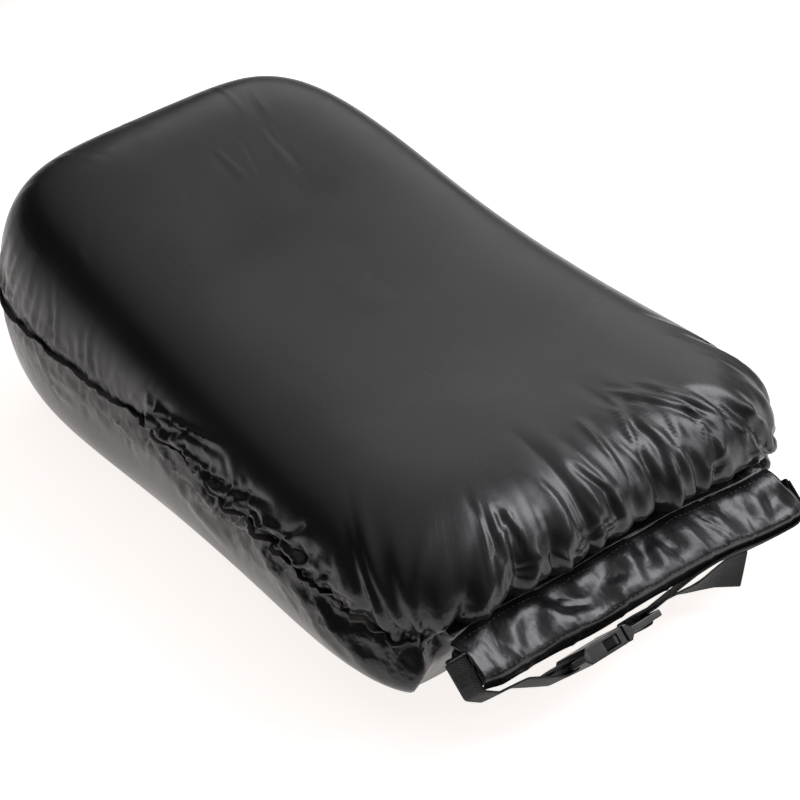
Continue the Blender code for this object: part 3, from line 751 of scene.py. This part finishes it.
def build_body(sizes):
    """The stuffed body as one closed piece, with its creases pressed into the mesh."""
    points, around, rows, shares, length = body_grid(sizes)
    relief = body_relief(points, around, rows, shares, length, sizes)
    relief = relief * smooth_step(points[..., 2] / FLOOR_SOFTENING)
    points = points + grid_normals(points) * relief[..., None]
    points[..., 2] = np.maximum(points[..., 2], 0.0)
    ahead, height = points[..., 0], points[..., 2]
    slack = 0.0012 + 0.006 * smooth_step((height - 0.070) / 0.010)
    limit = front_limit(points[..., 1], height, sizes) + slack
    points[..., 0] = np.where(height < 0.085, soft_least(ahead, limit, 0.0008), ahead)
    count = points.shape[1]
    flat_points = points.reshape(-1, 3)
    top = flat_points[:count].mean(0)
    bottom = flat_points[-count:].mean(0)
    faces = tube_faces(len(rows), count)
    uv = tube_uv(rows, around, length)
    on_top = (rows[:-1] > PLANAR_ROWS).repeat(count)
    uv.reshape(-1, 4, 2)[on_top] = flat_points[faces[on_top]][..., :2]
    crown_pole = len(flat_points)
    floor_pole = crown_pole + 1
    all_points = np.vstack([flat_points, top, bottom])
    last = (len(rows) - 1) * count
    polys = faces.tolist()
    corner_uv = [uv]
    for n in range(count):
        after = (n + 1) % count
        polys.append([crown_pole, after, n])
        polys.append([floor_pole, last + n, last + after])
        corner_uv.append(all_points[[crown_pole, after, n], :2])
        rim_uv = [around[n], rows[-1]]
        corner_uv.append(np.array([[around[n], rows[-1] - 0.01], rim_uv, [around[n] + 0.001, rows[-1]]]))
    body = piece_from("sack_body", all_points, polys, "coated_nylon_body", np.concatenate(corner_uv))
    face_outwards(body)
    crumple = crumple_mask(points, rows)
    attribute = body.data.attributes.new("crumple", "FLOAT", "POINT")
    attribute.data.foreach_set("value", np.append(crumple.ravel(), [0.1, 0.1]).astype(np.float32))
    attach(body, "sack")
    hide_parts("top_panel", "bottom_panel", "packed_load")
    return points, around, rows, length


# ---------------------------------------------------------------- strips of cloth and webbing

def strip_piece(name, centres, wide, normals, half_width, thickness, finish, ruffle=None):
    """A closed flat strip: centres, width directions and normals for each station."""
    sides = np.array([-1.0, -0.92, -0.45, 0.0, 0.45, 0.92, 1.0])
    swell = np.array([0.25, 0.9, 1.0, 1.0, 1.0, 0.9, 0.25]) * thickness / 2
    upper = [(s * half_width, t) for s, t in zip(sides, swell)]
    lower = [(s * half_width, -t) for s, t in zip(sides[::-1], swell[::-1])]
    profile = np.array(upper + lower)
    count = len(profile)
    rows = len(centres)
    offsets = profile[None, :, 0:1] * wide[:, None, :] + profile[None, :, 1:2] * normals[:, None, :]
    if ruffle is not None:
        towards_edge = (profile[None, :, 0] / half_width + 1) / 2
        offsets = offsets + (ruffle[:, None] * towards_edge)[..., None] * normals[:, None, :]
    points = (centres[:, None, :] + offsets).reshape(-1, 3)
    run = run_along(centres)
    faces = tube_faces(rows, count).tolist()
    width_uv = profile[:, 0]
    uv = []
    for k in range(rows - 1):
        for n in range(count):
            after = (n + 1) % count
            uv += [(run[k], width_uv[n]), (run[k], width_uv[after])]
            uv += [(run[k + 1], width_uv[after]), (run[k + 1], width_uv[n])]
    for k, flip in ((0, False), (rows - 1, True)):
        ring = [k * count + n for n in range(count)]
        if flip:
            ring = ring[::-1]
        faces.append(ring)
        uv += [(run[k], width_uv[index - k * count]) for index in ring]
    made = piece_from(name, points, faces, finish, uv)
    face_outwards(made)
    return made


def smooth_path(corners, step, passes):
    """A route cut into even steps, with its corners rounded and its ends kept."""
    route = np.array(corners, float)
    run = run_along(route)
    count = max(6, int(run[-1] / step))
    at = np.linspace(0, run[-1], count + 1)
    path = np.stack([np.interp(at, run, route[:, axis]) for axis in range(route.shape[1])], 1)
    for _ in range(passes):
        path[1:-1] = (path[:-2] + 2 * path[1:-1] + path[2:]) / 4
    return path


def strip_frames(path, wide_hint):
    """Width and normal directions along a path, near a hinted width direction."""
    tangent = np.gradient(path, axis=0)
    tangent /= np.linalg.norm(tangent, axis=1, keepdims=True)
    normal = np.cross(tangent, wide_hint)
    normal /= np.linalg.norm(normal, axis=1, keepdims=True)
    wide = np.cross(normal, tangent)
    return wide, normal


def strap_place(along, up, out):
    """A point in the strap's own directions, from the roll's centre; its ends go with the roll's ends."""
    push, lift = roll_wobble(along)
    share = max(float(smooth_step((along - 0.005) / 0.09)), float(smooth_step((-along - 0.088) / 0.042)))
    place = ROLL_CENTRE + Vector((push, ROLL_SHIFT, lift)) * share + Vector((0.0, along, 0.0))
    return tuple(place + STRAP_UP * up + STRAP_OUT * out)


# ---------------------------------------------------------------- seams

def build_seam_bindings(grid):
    """Narrow tapes that follow the rim of the finished body and flop from side to side."""
    points, around, rows, length = grid
    rim_row = int(np.argmin(np.abs(rows)))
    rim = points[rim_row]
    normals = grid_normals(points)[rim_row]
    x, y = rim[:, 0], rim[:, 1]
    spans = {
        "seam_tape_right": ("seam_binding_right", (y > 0) & (x < SEAM_END_X) & (x > BASE_SEAM_END_X)),
        "seam_tape_left": ("seam_binding_left", (y < 0) & (x < SEAM_END_X) & (x > BASE_SEAM_END_X)),
        "seam_tape_base": ("seam_binding_base", x <= BASE_SEAM_END_X + 0.003),
    }
    rng = np.random.RandomState(12)
    wander = np.interp(around, np.linspace(0, length, 190), rng.normal(0, 1, 190))
    slower = np.interp(around, np.linspace(0, length, 60), rng.normal(0, 1, 60))
    for name, (node, mask) in spans.items():
        picked = np.nonzero(mask)[0]
        out = normals[picked]
        centre = rim[picked] + out * 0.0011
        centre[:, 2] += 0.0012 * slower[picked]
        up = np.tile([0.0, 0.0, 1.0], (len(picked), 1))
        flop = 0.35 * wander[picked]
        wide = out * np.cos(flop)[:, None] + up * np.sin(flop)[:, None]
        normal = up * np.cos(flop)[:, None] - out * np.sin(flop)[:, None]
        tape = strip_piece(name, centre, wide, normal, 0.0021, 0.0012, "seam_tape", 0.0009 * wander[picked])
        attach(tape, "sack")
        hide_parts(node)


# ---------------------------------------------------------------- rolled collar

ROLL_POWER = 3.3
ROLL_LEAN = math.radians(24.0)
ROLL_SHIFT = -0.0030
ROLL_AHEAD = 0.0010
HEM_STANDOFF = 0.0010
HEM_ANGLES = (146.0, -16.0)
STITCH_ANGLES = (128.0, 42.0, -10.0)
STITCH_PITCH = 0.0040
NECK_ANGLE = 150.0


def roll_wobble(y):
    """How the roll wanders along its length."""
    left_end, right_end = smooth_step((-y - 0.03) / 0.10), smooth_step((y + 0.02) / 0.15)
    lift = 0.0009 * np.sin(y * 31 + 0.6) + 0.0004 * np.sin(y * 83 + 2.0)
    lift = lift + 0.0022 * left_end - 0.0070 * right_end
    push = 0.0009 * np.sin(y * 43 + 1.9) - 0.0015 * left_end + 0.0035 * right_end
    return push, lift


def roll_dents(theta, y):
    """Share by which the roll is pressed in, by place round it and along it."""
    rng = np.random.RandomState(23)
    dents = np.zeros(np.broadcast(theta, y).shape)
    place = -ROLL_HALF.y + 0.018
    while place < ROLL_HALF.y - 0.008:
        middle = math.radians(70 + 34 * rng.random())
        spread_theta = 0.50 + 0.28 * rng.random()
        spread_y = 0.0075 + 0.0060 * rng.random()
        strength = 0.16 + 0.28 * rng.random()
        turn = (theta - middle + math.pi) % (2 * math.pi) - math.pi
        slant = (y - place) + 0.010 * turn * (rng.random() * 2 - 1)
        dents += strength * np.exp(-np.abs(turn / spread_theta) ** 3.0 - np.abs(slant / spread_y) ** 2.6)
        place += 0.019 + 0.016 * rng.random()
    for _ in range(38):
        middle = rng.random() * 2 * math.pi
        centre = (rng.random() * 2 - 1) * ROLL_HALF.y
        tilt = rng.normal(0, 0.5)
        reach = 0.5 + 0.7 * rng.random()
        width = 0.0012 + 0.0018 * rng.random()
        turn = (theta - middle + math.pi) % (2 * math.pi) - math.pi
        ridge = (y - centre) + tilt * 0.012 * turn
        height = 0.02 + 0.035 * rng.random()
        round_it = np.exp(-np.abs(turn / reach) ** 2.5)
        dents -= height * round_it * np.exp(-np.abs(ridge / width) ** 1.3)
        dents += 0.02 * round_it * np.exp(-((ridge - 1.8 * width) / width) ** 2)
    return dents


def roll_surface(theta, y, depth):
    """A point of the roll at an angle from the front, a place along it and a depth below its surface."""
    across, upward = np.abs(np.cos(theta)), np.abs(np.sin(theta))
    rounding = (across**ROLL_POWER + upward**ROLL_POWER) ** (-1 / ROLL_POWER)
    shrink = 1 - np.clip(roll_dents(theta, y), -0.06, 0.40)
    push, lift = roll_wobble(y)
    shrink = shrink * (1 - 0.20 * smooth_step((-y - 0.117) / 0.016))
    ahead = (ROLL_HALF.x - 0.0006 - depth) * np.cos(theta) * rounding * (0.35 + 0.65 * shrink)
    above = (ROLL_HALF.z + 0.0014 - depth) * np.sin(theta) * rounding * shrink
    above = above * (1 - 0.16 * smooth_step(-np.cos(theta) * 1.4) * (np.sin(theta) > 0))
    x = ROLL_CENTRE.x + ROLL_AHEAD + ahead * math.cos(ROLL_LEAN) + above * math.sin(ROLL_LEAN) + push
    z = ROLL_CENTRE.z - ahead * math.sin(ROLL_LEAN) + above * math.cos(ROLL_LEAN) + lift
    return np.stack([x, np.broadcast_to(y + ROLL_SHIFT, x.shape), z], -1)


def build_roll(closure):
    """The mouth of the sack, rolled down in turns."""
    layer, pitch = closure.cloth_layer, closure.cloth_pitch
    unrolled = np.linspace(0.0, closure.turns * 2 * np.pi, int(closure.turns * 44))
    depth = pitch * unrolled / (2 * np.pi) + 0.0004
    theta = math.pi * 0.92 - unrolled
    ragged = 0.0012 * np.sin(unrolled * 1.7 + 0.5) + 0.0008 * np.sin(unrolled * 4.1)
    stations = np.linspace(-1, 1, 170)
    rings = []
    for share in stations:
        y = share * (ROLL_HALF.y - 0.0016) + np.sign(share) * ragged * abs(share) ** 8
        outer = roll_surface(theta, y, depth)
        inner = roll_surface(theta, y, depth + layer)
        rings.append(np.concatenate([outer, inner[::-1]]))
    roll = folded_piece("rolled_collar", rings, stations * ROLL_HALF.y, layer)
    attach(roll, "closure")
    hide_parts("collar_roll")


def build_hem():
    """The doubled, stitched edge that lies on the outside of the roll."""
    theta = np.radians(np.linspace(*HEM_ANGLES, 60))
    edge = np.minimum(np.abs(theta - theta[0]), np.abs(theta - theta[-1]))
    bead = 0.0005 * np.exp(-((edge - 0.10) / 0.05) ** 2)
    stations = np.linspace(-1, 1, 170)
    rings = []
    for share in stations:
        y = share * (ROLL_HALF.y - 0.0004)
        over = roll_surface(theta, y, -HEM_STANDOFF - bead)
        under = roll_surface(theta, y, -0.0001)
        rings.append(np.concatenate([over, under[::-1]]))
    hem = folded_piece("hem_band", rings, stations * ROLL_HALF.y, 0.001)
    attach(hem, "closure")
    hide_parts("collar_hem")


def stitch_piece(name, places, directions, normals, body, half_length=0.0013, radius=0.00028):
    """Thread stitches as one piece: one stitch modelled once, then copied to every place."""
    bpy.ops.object.select_all(action="DESELECT")
    bpy.ops.mesh.primitive_uv_sphere_add(segments=6, ring_count=4, radius=1.0)
    source = bpy.context.object
    base = np.array([v.co for v in source.data.vertices])
    polys = [list(p.vertices) for p in source.data.polygons]
    bpy.data.objects.remove(source, do_unlink=True)
    points, faces = [], []
    for place, along, out in zip(places, directions, normals):
        side = np.cross(out, along)
        start = len(points)
        shape = base[:, 2:3] * half_length * along + base[:, 0:1] * radius * side
        shape = shape + base[:, 1:2] * radius * out
        points.extend((place + shape).tolist())
        faces.extend([[start + index for index in poly] for poly in polys])
    row = piece_from(name, points, faces, "bonded_thread")
    face_outwards(row)
    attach(row, body)
    return row


def build_hem_stitches():
    """Three rows of stitches along the hem, standing just out of its cloth."""
    proud = HEM_STANDOFF + 0.00025
    y = np.arange(-ROLL_HALF.y + 0.004, ROLL_HALF.y - 0.004, STITCH_PITCH)
    places, directions, normals = [], [], []
    for angle in STITCH_ANGLES:
        theta = np.full(y.shape, math.radians(angle))
        here = roll_surface(theta, y, -proud)
        ahead = roll_surface(theta, y + 0.0013, -proud)
        below = roll_surface(theta, y, 0.0)
        along = ahead - here
        out = here - below
        directions.append(along / np.linalg.norm(along, axis=1, keepdims=True))
        normals.append(out / np.linalg.norm(out, axis=1, keepdims=True))
        places.append(here)
    rows = [np.concatenate(each) for each in (places, directions, normals)]
    stitch_piece("hem_stitches", *rows, "closure")


def build_neck():
    """The pleated cloth that leaves the body and turns onto the roll."""
    stations = np.linspace(-ROLL_HALF.y + 0.002, ROLL_HALF.y - 0.002, 260)
    rng = np.random.RandomState(5)
    pleat = np.interp(stations, np.linspace(stations[0], stations[-1], 75), rng.normal(0, 1, 75))
    edge_x, _, top = roll_surface(np.array(math.radians(NECK_ANGLE)), 0.0, -0.0012)
    route = [
        (NECK_X - 0.014, top - 0.006), (NECK_X - 0.004, top - 0.001),
        (NECK_X + 0.002, top + 0.0008), (edge_x, top),
    ]
    path = smooth_path(route, 0.0012, 2)
    share = np.linspace(0, 1, len(path))
    half_layer = 0.0003
    rings = []
    for y, fold in zip(stations, pleat):
        ripple = 0.0012 * fold * np.sin(np.pi * np.clip(share * 1.1, 0, 1))
        push, lift = roll_wobble(y)
        x = path[:, 0] + push * share
        z = path[:, 1] + ripple + lift * share
        across = y + ROLL_SHIFT * share
        over = np.stack([x, across, z + half_layer], 1)
        under = np.stack([x, across, z - half_layer], 1)
        rings.append(np.concatenate([over, under[::-1]]))
    neck = folded_piece("neck_gathers", rings, stations, 2 * half_layer)
    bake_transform(neck)


# ---------------------------------------------------------------- strap

SLOT_INSET = 0.00625
SLOT_PITCH = 0.008
FRAME_CLEARANCE = 0.0022 + 0.0003 + 0.0008
STRAP_END_GAP = 0.0034
BARTACK_HALF_WIDTH = 0.0088


def webbing_piece(name, corners, closure, body, nodes, twist=None, passes=2, step=0.0010):
    """Webbing along corners given as (along, up, out) in the strap's directions."""
    local = smooth_path(corners, step, passes)
    path = np.array([strap_place(*p) for p in local])
    hint = np.tile(np.array(STRAP_UP), (len(path), 1))
    if twist is not None:
        run = np.linspace(0, 1, len(path))
        angle = np.interp(run, twist[0], np.radians(twist[1]))
        tangent = np.gradient(path, axis=0)
        tangent /= np.linalg.norm(tangent, axis=1, keepdims=True)
        hint = hint * np.cos(angle)[:, None] + np.cross(tangent, hint) * np.sin(angle)[:, None]
    wide, normal = strip_frames(path, hint)
    half_width, thickness = closure.webbing_width / 2, closure.webbing_thickness
    made = strip_piece(name, path, wide, normal, half_width, thickness, "ribbed_webbing")
    if body is not None:
        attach(made, body)
    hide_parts(*nodes)
    return made


def strap_levels():
    """Distances along and out of the strap that the CAD pieces give."""
    return {
        "end": ROLL_HALF.y + STRAP_END_GAP,
        "socket_end": SOCKET_LOW.y,
        "socket_slot": SOCKET_LOW.y + SLOT_INSET,
        "outside": STRAP_REACH + FRAME_CLEARANCE,
        "inside": STRAP_REACH - FRAME_CLEARANCE,
        "reach": STRAP_REACH,
        "plug_end": PLUG_END_Y,
        "near_slot": PLUG_END_Y - SLOT_INSET,
        "far_slot": PLUG_END_Y - SLOT_INSET - SLOT_PITCH,
        "shoulder": ROLL_HALF.y - 0.006,
        "tail_end": TAIL_END_Y,
    }


def build_webbing(closure):
    """The fixed strap, the adjustable strap and its free tail, each threaded through the buckle."""
    at = strap_levels()
    left = [
        (-at["end"], 0.0, -0.005), (-at["end"], 0.0, 0.0180), (-at["shoulder"], 0.0, 0.0234),
        (at["socket_end"] - 0.026, 0.0, 0.0238), (at["socket_end"] - 0.003, 0.0, at["outside"]),
        (at["socket_slot"] + 0.0004, 0.0, at["outside"]), (at["socket_slot"] + 0.0004, 0.0, at["inside"]),
        (at["socket_end"] - 0.003, 0.0, at["inside"]), (at["socket_end"] - 0.011, 0.0, at["reach"] - 0.0026),
    ]
    webbing_piece("strap_left", left, closure, "strap", ["webbing_left"])
    right = [
        (at["plug_end"] + 0.0006, 0.0, at["inside"]), (0.036, 0.0, 0.0225), (0.070, 0.0, 0.0206),
        (at["shoulder"], 0.0, 0.0206), (at["end"], 0.0, 0.0145), (at["end"], 0.0, -0.005),
    ]
    run = webbing_piece("strap_right", right, closure, None, ["webbing_right"], passes=6, step=0.0014)
    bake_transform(run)
    under = at["inside"] - 0.0019
    tail = [
        (at["plug_end"] - 0.0003, 0.0, at["inside"]), (at["near_slot"], 0.0, at["inside"]),
        (at["near_slot"], 0.0, at["outside"]), (at["far_slot"], 0.0, at["outside"]),
        (at["far_slot"], 0.0, under), (at["plug_end"], 0.0, under),
        (0.040, 0.0, 0.0280), (at["tail_end"] - 0.026, 0.0, 0.0285), (at["tail_end"] - 0.008, 0.0, 0.0312),
    ]
    twist = ([0.0, 0.62, 1.0], [0.0, 0.0, -48.0])
    webbing_piece("strap_tail", tail, closure, "plug", ["webbing_tail"], twist)


def build_tabs():
    """Folded cloth tabs, one at each end of the roll, that hold the strap."""
    inner = ROLL_HALF.y + 0.0008
    outer = ROLL_HALF.y + 0.0018
    for side, name, node in ((-1, "tab_left", "anchor_tab_left"), (1, "tab_right", "anchor_tab_right")):
        route = [
            (side * inner, 0.0, -0.0075), (side * inner, 0.0, 0.010), (side * (inner + 0.0006), 0.0, 0.0150),
            (side * outer, 0.0, 0.0125), (side * outer, 0.0, -0.0070),
        ]
        local = smooth_path(route, 0.0010, 2)
        path = np.array([strap_place(*p) for p in local])
        hint = np.tile(np.array(STRAP_UP), (len(path), 1))
        wide, normal = strip_frames(path, hint)
        rng = np.random.RandomState(31 + side)
        ruffle = np.interp(np.arange(len(path)), np.linspace(0, len(path), 9), rng.normal(0, 0.0006, 9))
        tab = strip_piece(name, path, wide, normal, 0.0126, 0.0008, "coated_nylon_collar", ruffle)
        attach(tab, "strap")
        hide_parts(node)


def build_bartacks(closure):
    """Dense zigzag stitching through the webbing and the tab."""
    face = ROLL_HALF.y + STRAP_END_GAP + closure.webbing_thickness / 2 + 0.0001
    columns = 14
    for side, node in ((-1, "bartack_left"), (1, "bartack_right")):
        places, directions = [], []
        for row in range(5):
            for column in range(columns):
                up = BARTACK_HALF_WIDTH * (2 * column / (columns - 1) - 1)
                reach = 0.0045 + 0.0016 * row
                places.append(np.array(strap_place(side * face, up, reach)))
                slant = 0.5 if column % 2 else -0.5
                along = np.array(STRAP_OUT) * math.cos(slant) + np.array(STRAP_UP) * math.sin(slant)
                directions.append(along)
        normals = [np.array((0.0, float(side), 0.0))] * len(places)
        stitches = stitch_piece(f"{node}_stitches", places, directions, normals, "strap", 0.0010, 0.00026)
        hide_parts(node)


def finish_plastic():
    """Gives the moulded and sheet plastic parts their finish."""
    for finish, nodes in (
        ("moulded_acetal", ("buckle_socket", "buckle_plug", "buckle_prong_upper", "buckle_prong_lower")),
        ("stiffener_sheet", ("mouth_stiffener_front", "mouth_stiffener_back")),
    ):
        for node in nodes:
            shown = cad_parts[node]
            shown.data.materials.clear()
            shown.data.materials.append(bpy.data.materials[finish])


# ---------------------------------------------------------------- studio

CAMERA_AZIMUTH = math.radians(47.67)
CAMERA_ELEVATION = math.radians(35.64)
CAMERA_DISTANCE = 1.9971
CAMERA_TARGET = Vector((0.0056, 0.0184, 0.05))
SENSOR_WIDTH = 36.0
FRAMES_PER_METRE = 1.9142


def add_light(name, place, target, size, power, colour=(1.0, 1.0, 1.0)):
    lamp = bpy.data.lights.new(name, "AREA")
    lamp.shape = "RECTANGLE"
    lamp.size, lamp.size_y = size
    lamp.energy = power
    lamp.color = colour
    made = bpy.data.objects.new(name, lamp)
    made.location = place
    made.rotation_euler = (Vector(target) - Vector(place)).to_track_quat("-Z", "Y").to_euler()
    bpy.context.scene.collection.objects.link(made)


def add_camera():
    """A long lens that looks down at the roll's left end."""
    scene = bpy.context.scene
    lens = bpy.data.cameras.new("studio_camera")
    lens.sensor_width = SENSOR_WIDTH
    lens.lens = SENSOR_WIDTH * FRAMES_PER_METRE * CAMERA_DISTANCE
    camera = bpy.data.objects.new("studio_camera", lens)
    level = math.cos(CAMERA_ELEVATION)
    back = Vector((
        math.sin(CAMERA_AZIMUTH) * level, -math.cos(CAMERA_AZIMUTH) * level, math.sin(CAMERA_ELEVATION),
    ))
    camera.location = CAMERA_TARGET + back * CAMERA_DISTANCE
    camera.rotation_mode = "QUATERNION"
    camera.rotation_quaternion = back.to_track_quat("Z", "Y")
    scene.collection.objects.link(camera)
    scene.camera = camera


def build_studio(colours):
    """A pale floor, lit and also glowing with painted light under the object, a dim sky that brightens
    overhead, three softboxes and the camera.
    """
    scene = bpy.context.scene
    bpy.ops.object.select_all(action="DESELECT")
    bpy.ops.mesh.primitive_plane_add(size=12.0, location=(0.0, 0.0, -0.0005))
    floor = bpy.context.object
    floor.name = "studio_floor"
    material, shader = new_finish("studio_floor", 0.7)
    shader.inputs["Base Color"].default_value = (*colours.floor, 1.0)
    # painted light: the floor's own emission, white under the object and grey further out, which also lights
    # the sack
    glow = placed_group(material, glow_group())
    material.node_tree.links.new(glow.outputs["Glow"], shader.inputs["Emission Color"])
    shader.inputs["Emission Strength"].default_value = 0.90
    floor.data.materials.append(material)

    world = bpy.data.worlds.new("studio_world")
    world.use_nodes = True
    tree = world.node_tree
    facing = tree.nodes.new("ShaderNodeVectorMath")
    facing.operation = "DOT_PRODUCT"
    facing.inputs[1].default_value = (0.0, 0.4, 0.8)
    tree.links.new(tree.nodes.new("ShaderNodeTexCoord").outputs["Generated"], facing.inputs[0])
    ramp = tree.nodes.new("ShaderNodeValToRGB")
    ramp.color_ramp.elements[0].position, ramp.color_ramp.elements[1].position = 0.25, 0.90
    ramp.color_ramp.elements[0].color = (0.055, 0.046, 0.043, 1.0)
    ramp.color_ramp.elements[1].color = (0.80, 0.80, 0.82, 1.0)
    tree.links.new(facing.outputs["Value"], ramp.inputs["Fac"])
    tree.links.new(ramp.outputs["Color"], tree.nodes["Background"].inputs["Color"])
    tree.nodes["Background"].inputs["Strength"].default_value = 0.75
    scene.world = world

    add_light("key_softbox", (0.45, 1.05, 1.45), (0.1, 0.0, 0.1), (1.1, 0.8), 18.0, (0.97, 0.95, 1.0))
    add_light("far_softbox", (-1.0, 1.5, 1.1), (0.0, 0.0, 0.1), (1.6, 1.0), 4.5)
    add_light("side_softbox", (1.25, 1.35, 1.0), (0.2, 0.0, 0.1), (0.7, 0.7), 5.0, (0.98, 0.96, 1.0))

    add_camera()
    scene.view_settings.view_transform = "Standard"


# ---------------------------------------------------------------- operators

GRID = {}


class SACK_OT_body(bpy.types.Operator):
    """Build the stuffed body, with its gathers and creases"""

    bl_idname = "sack.body"
    bl_label = "Body"

    def execute(self, context):
        GRID["body"] = build_body(context.scene.sack_sizes)
        return {"FINISHED"}


class SACK_OT_seams(bpy.types.Operator):
    """Build the bound seams along both sides and the base"""

    bl_idname = "sack.seams"
    bl_label = "Seam tapes"

    def execute(self, context):
        build_seam_bindings(GRID["body"])
        return {"FINISHED"}


class SACK_OT_collar(bpy.types.Operator):
    """Build the rolled mouth with its hem, stitches and neck"""

    bl_idname = "sack.collar"
    bl_label = "Rolled collar"

    def execute(self, context):
        build_roll(context.scene.closure_sizes)
        build_hem()
        build_hem_stitches()
        build_neck()
        return {"FINISHED"}


class SACK_OT_strap(bpy.types.Operator):
    """Build the webbing, tabs and bartacks, and finish the buckle"""

    bl_idname = "sack.strap"
    bl_label = "Strap and buckle"

    def execute(self, context):
        build_webbing(context.scene.closure_sizes)
        build_tabs()
        build_bartacks(context.scene.closure_sizes)
        finish_plastic()
        return {"FINISHED"}


class SACK_OT_studio(bpy.types.Operator):
    """Set up the floor, the lights and the camera"""

    bl_idname = "sack.studio"
    bl_label = "Studio"

    def execute(self, context):
        build_studio(context.scene.sack_colours)
        return {"FINISHED"}


class SACK_PT_panel(bpy.types.Panel):
    bl_label = "Roll-top sack"
    bl_idname = "SACK_PT_panel"
    bl_space_type = "VIEW_3D"
    bl_region_type = "UI"
    bl_category = "Sack"

    def draw(self, context):
        for group in (context.scene.sack_sizes, context.scene.closure_sizes, context.scene.sack_colours):
            box = self.layout.box()
            for name in group.bl_rna.properties.keys():
                if name not in ("rna_type", "name"):
                    box.prop(group, name)
        for operator in OPERATORS:
            self.layout.operator(operator.bl_idname)


OPERATORS = (SACK_OT_body, SACK_OT_seams, SACK_OT_collar, SACK_OT_strap, SACK_OT_studio)
CLASSES = (SackSizes, ClosureSizes, SackColours, *OPERATORS, SACK_PT_panel)


def register():
    for each in CLASSES:
        bpy.utils.register_class(each)
    bpy.types.Scene.sack_sizes = PointerProperty(type=SackSizes)
    bpy.types.Scene.closure_sizes = PointerProperty(type=ClosureSizes)
    bpy.types.Scene.sack_colours = PointerProperty(type=SackColours)


def unregister():
    for name in ("sack_sizes", "closure_sizes", "sack_colours"):
        delattr(bpy.types.Scene, name)
    for each in reversed(CLASSES):
        bpy.utils.unregister_class(each)


def main():
    register()
    build_finishes(bpy.context.scene.sack_colours)
    bpy.ops.sack.body()
    bpy.ops.sack.seams()
    bpy.ops.sack.collar()
    bpy.ops.sack.strap()
    bpy.ops.sack.studio()


if __name__ == "__main__":
    main()
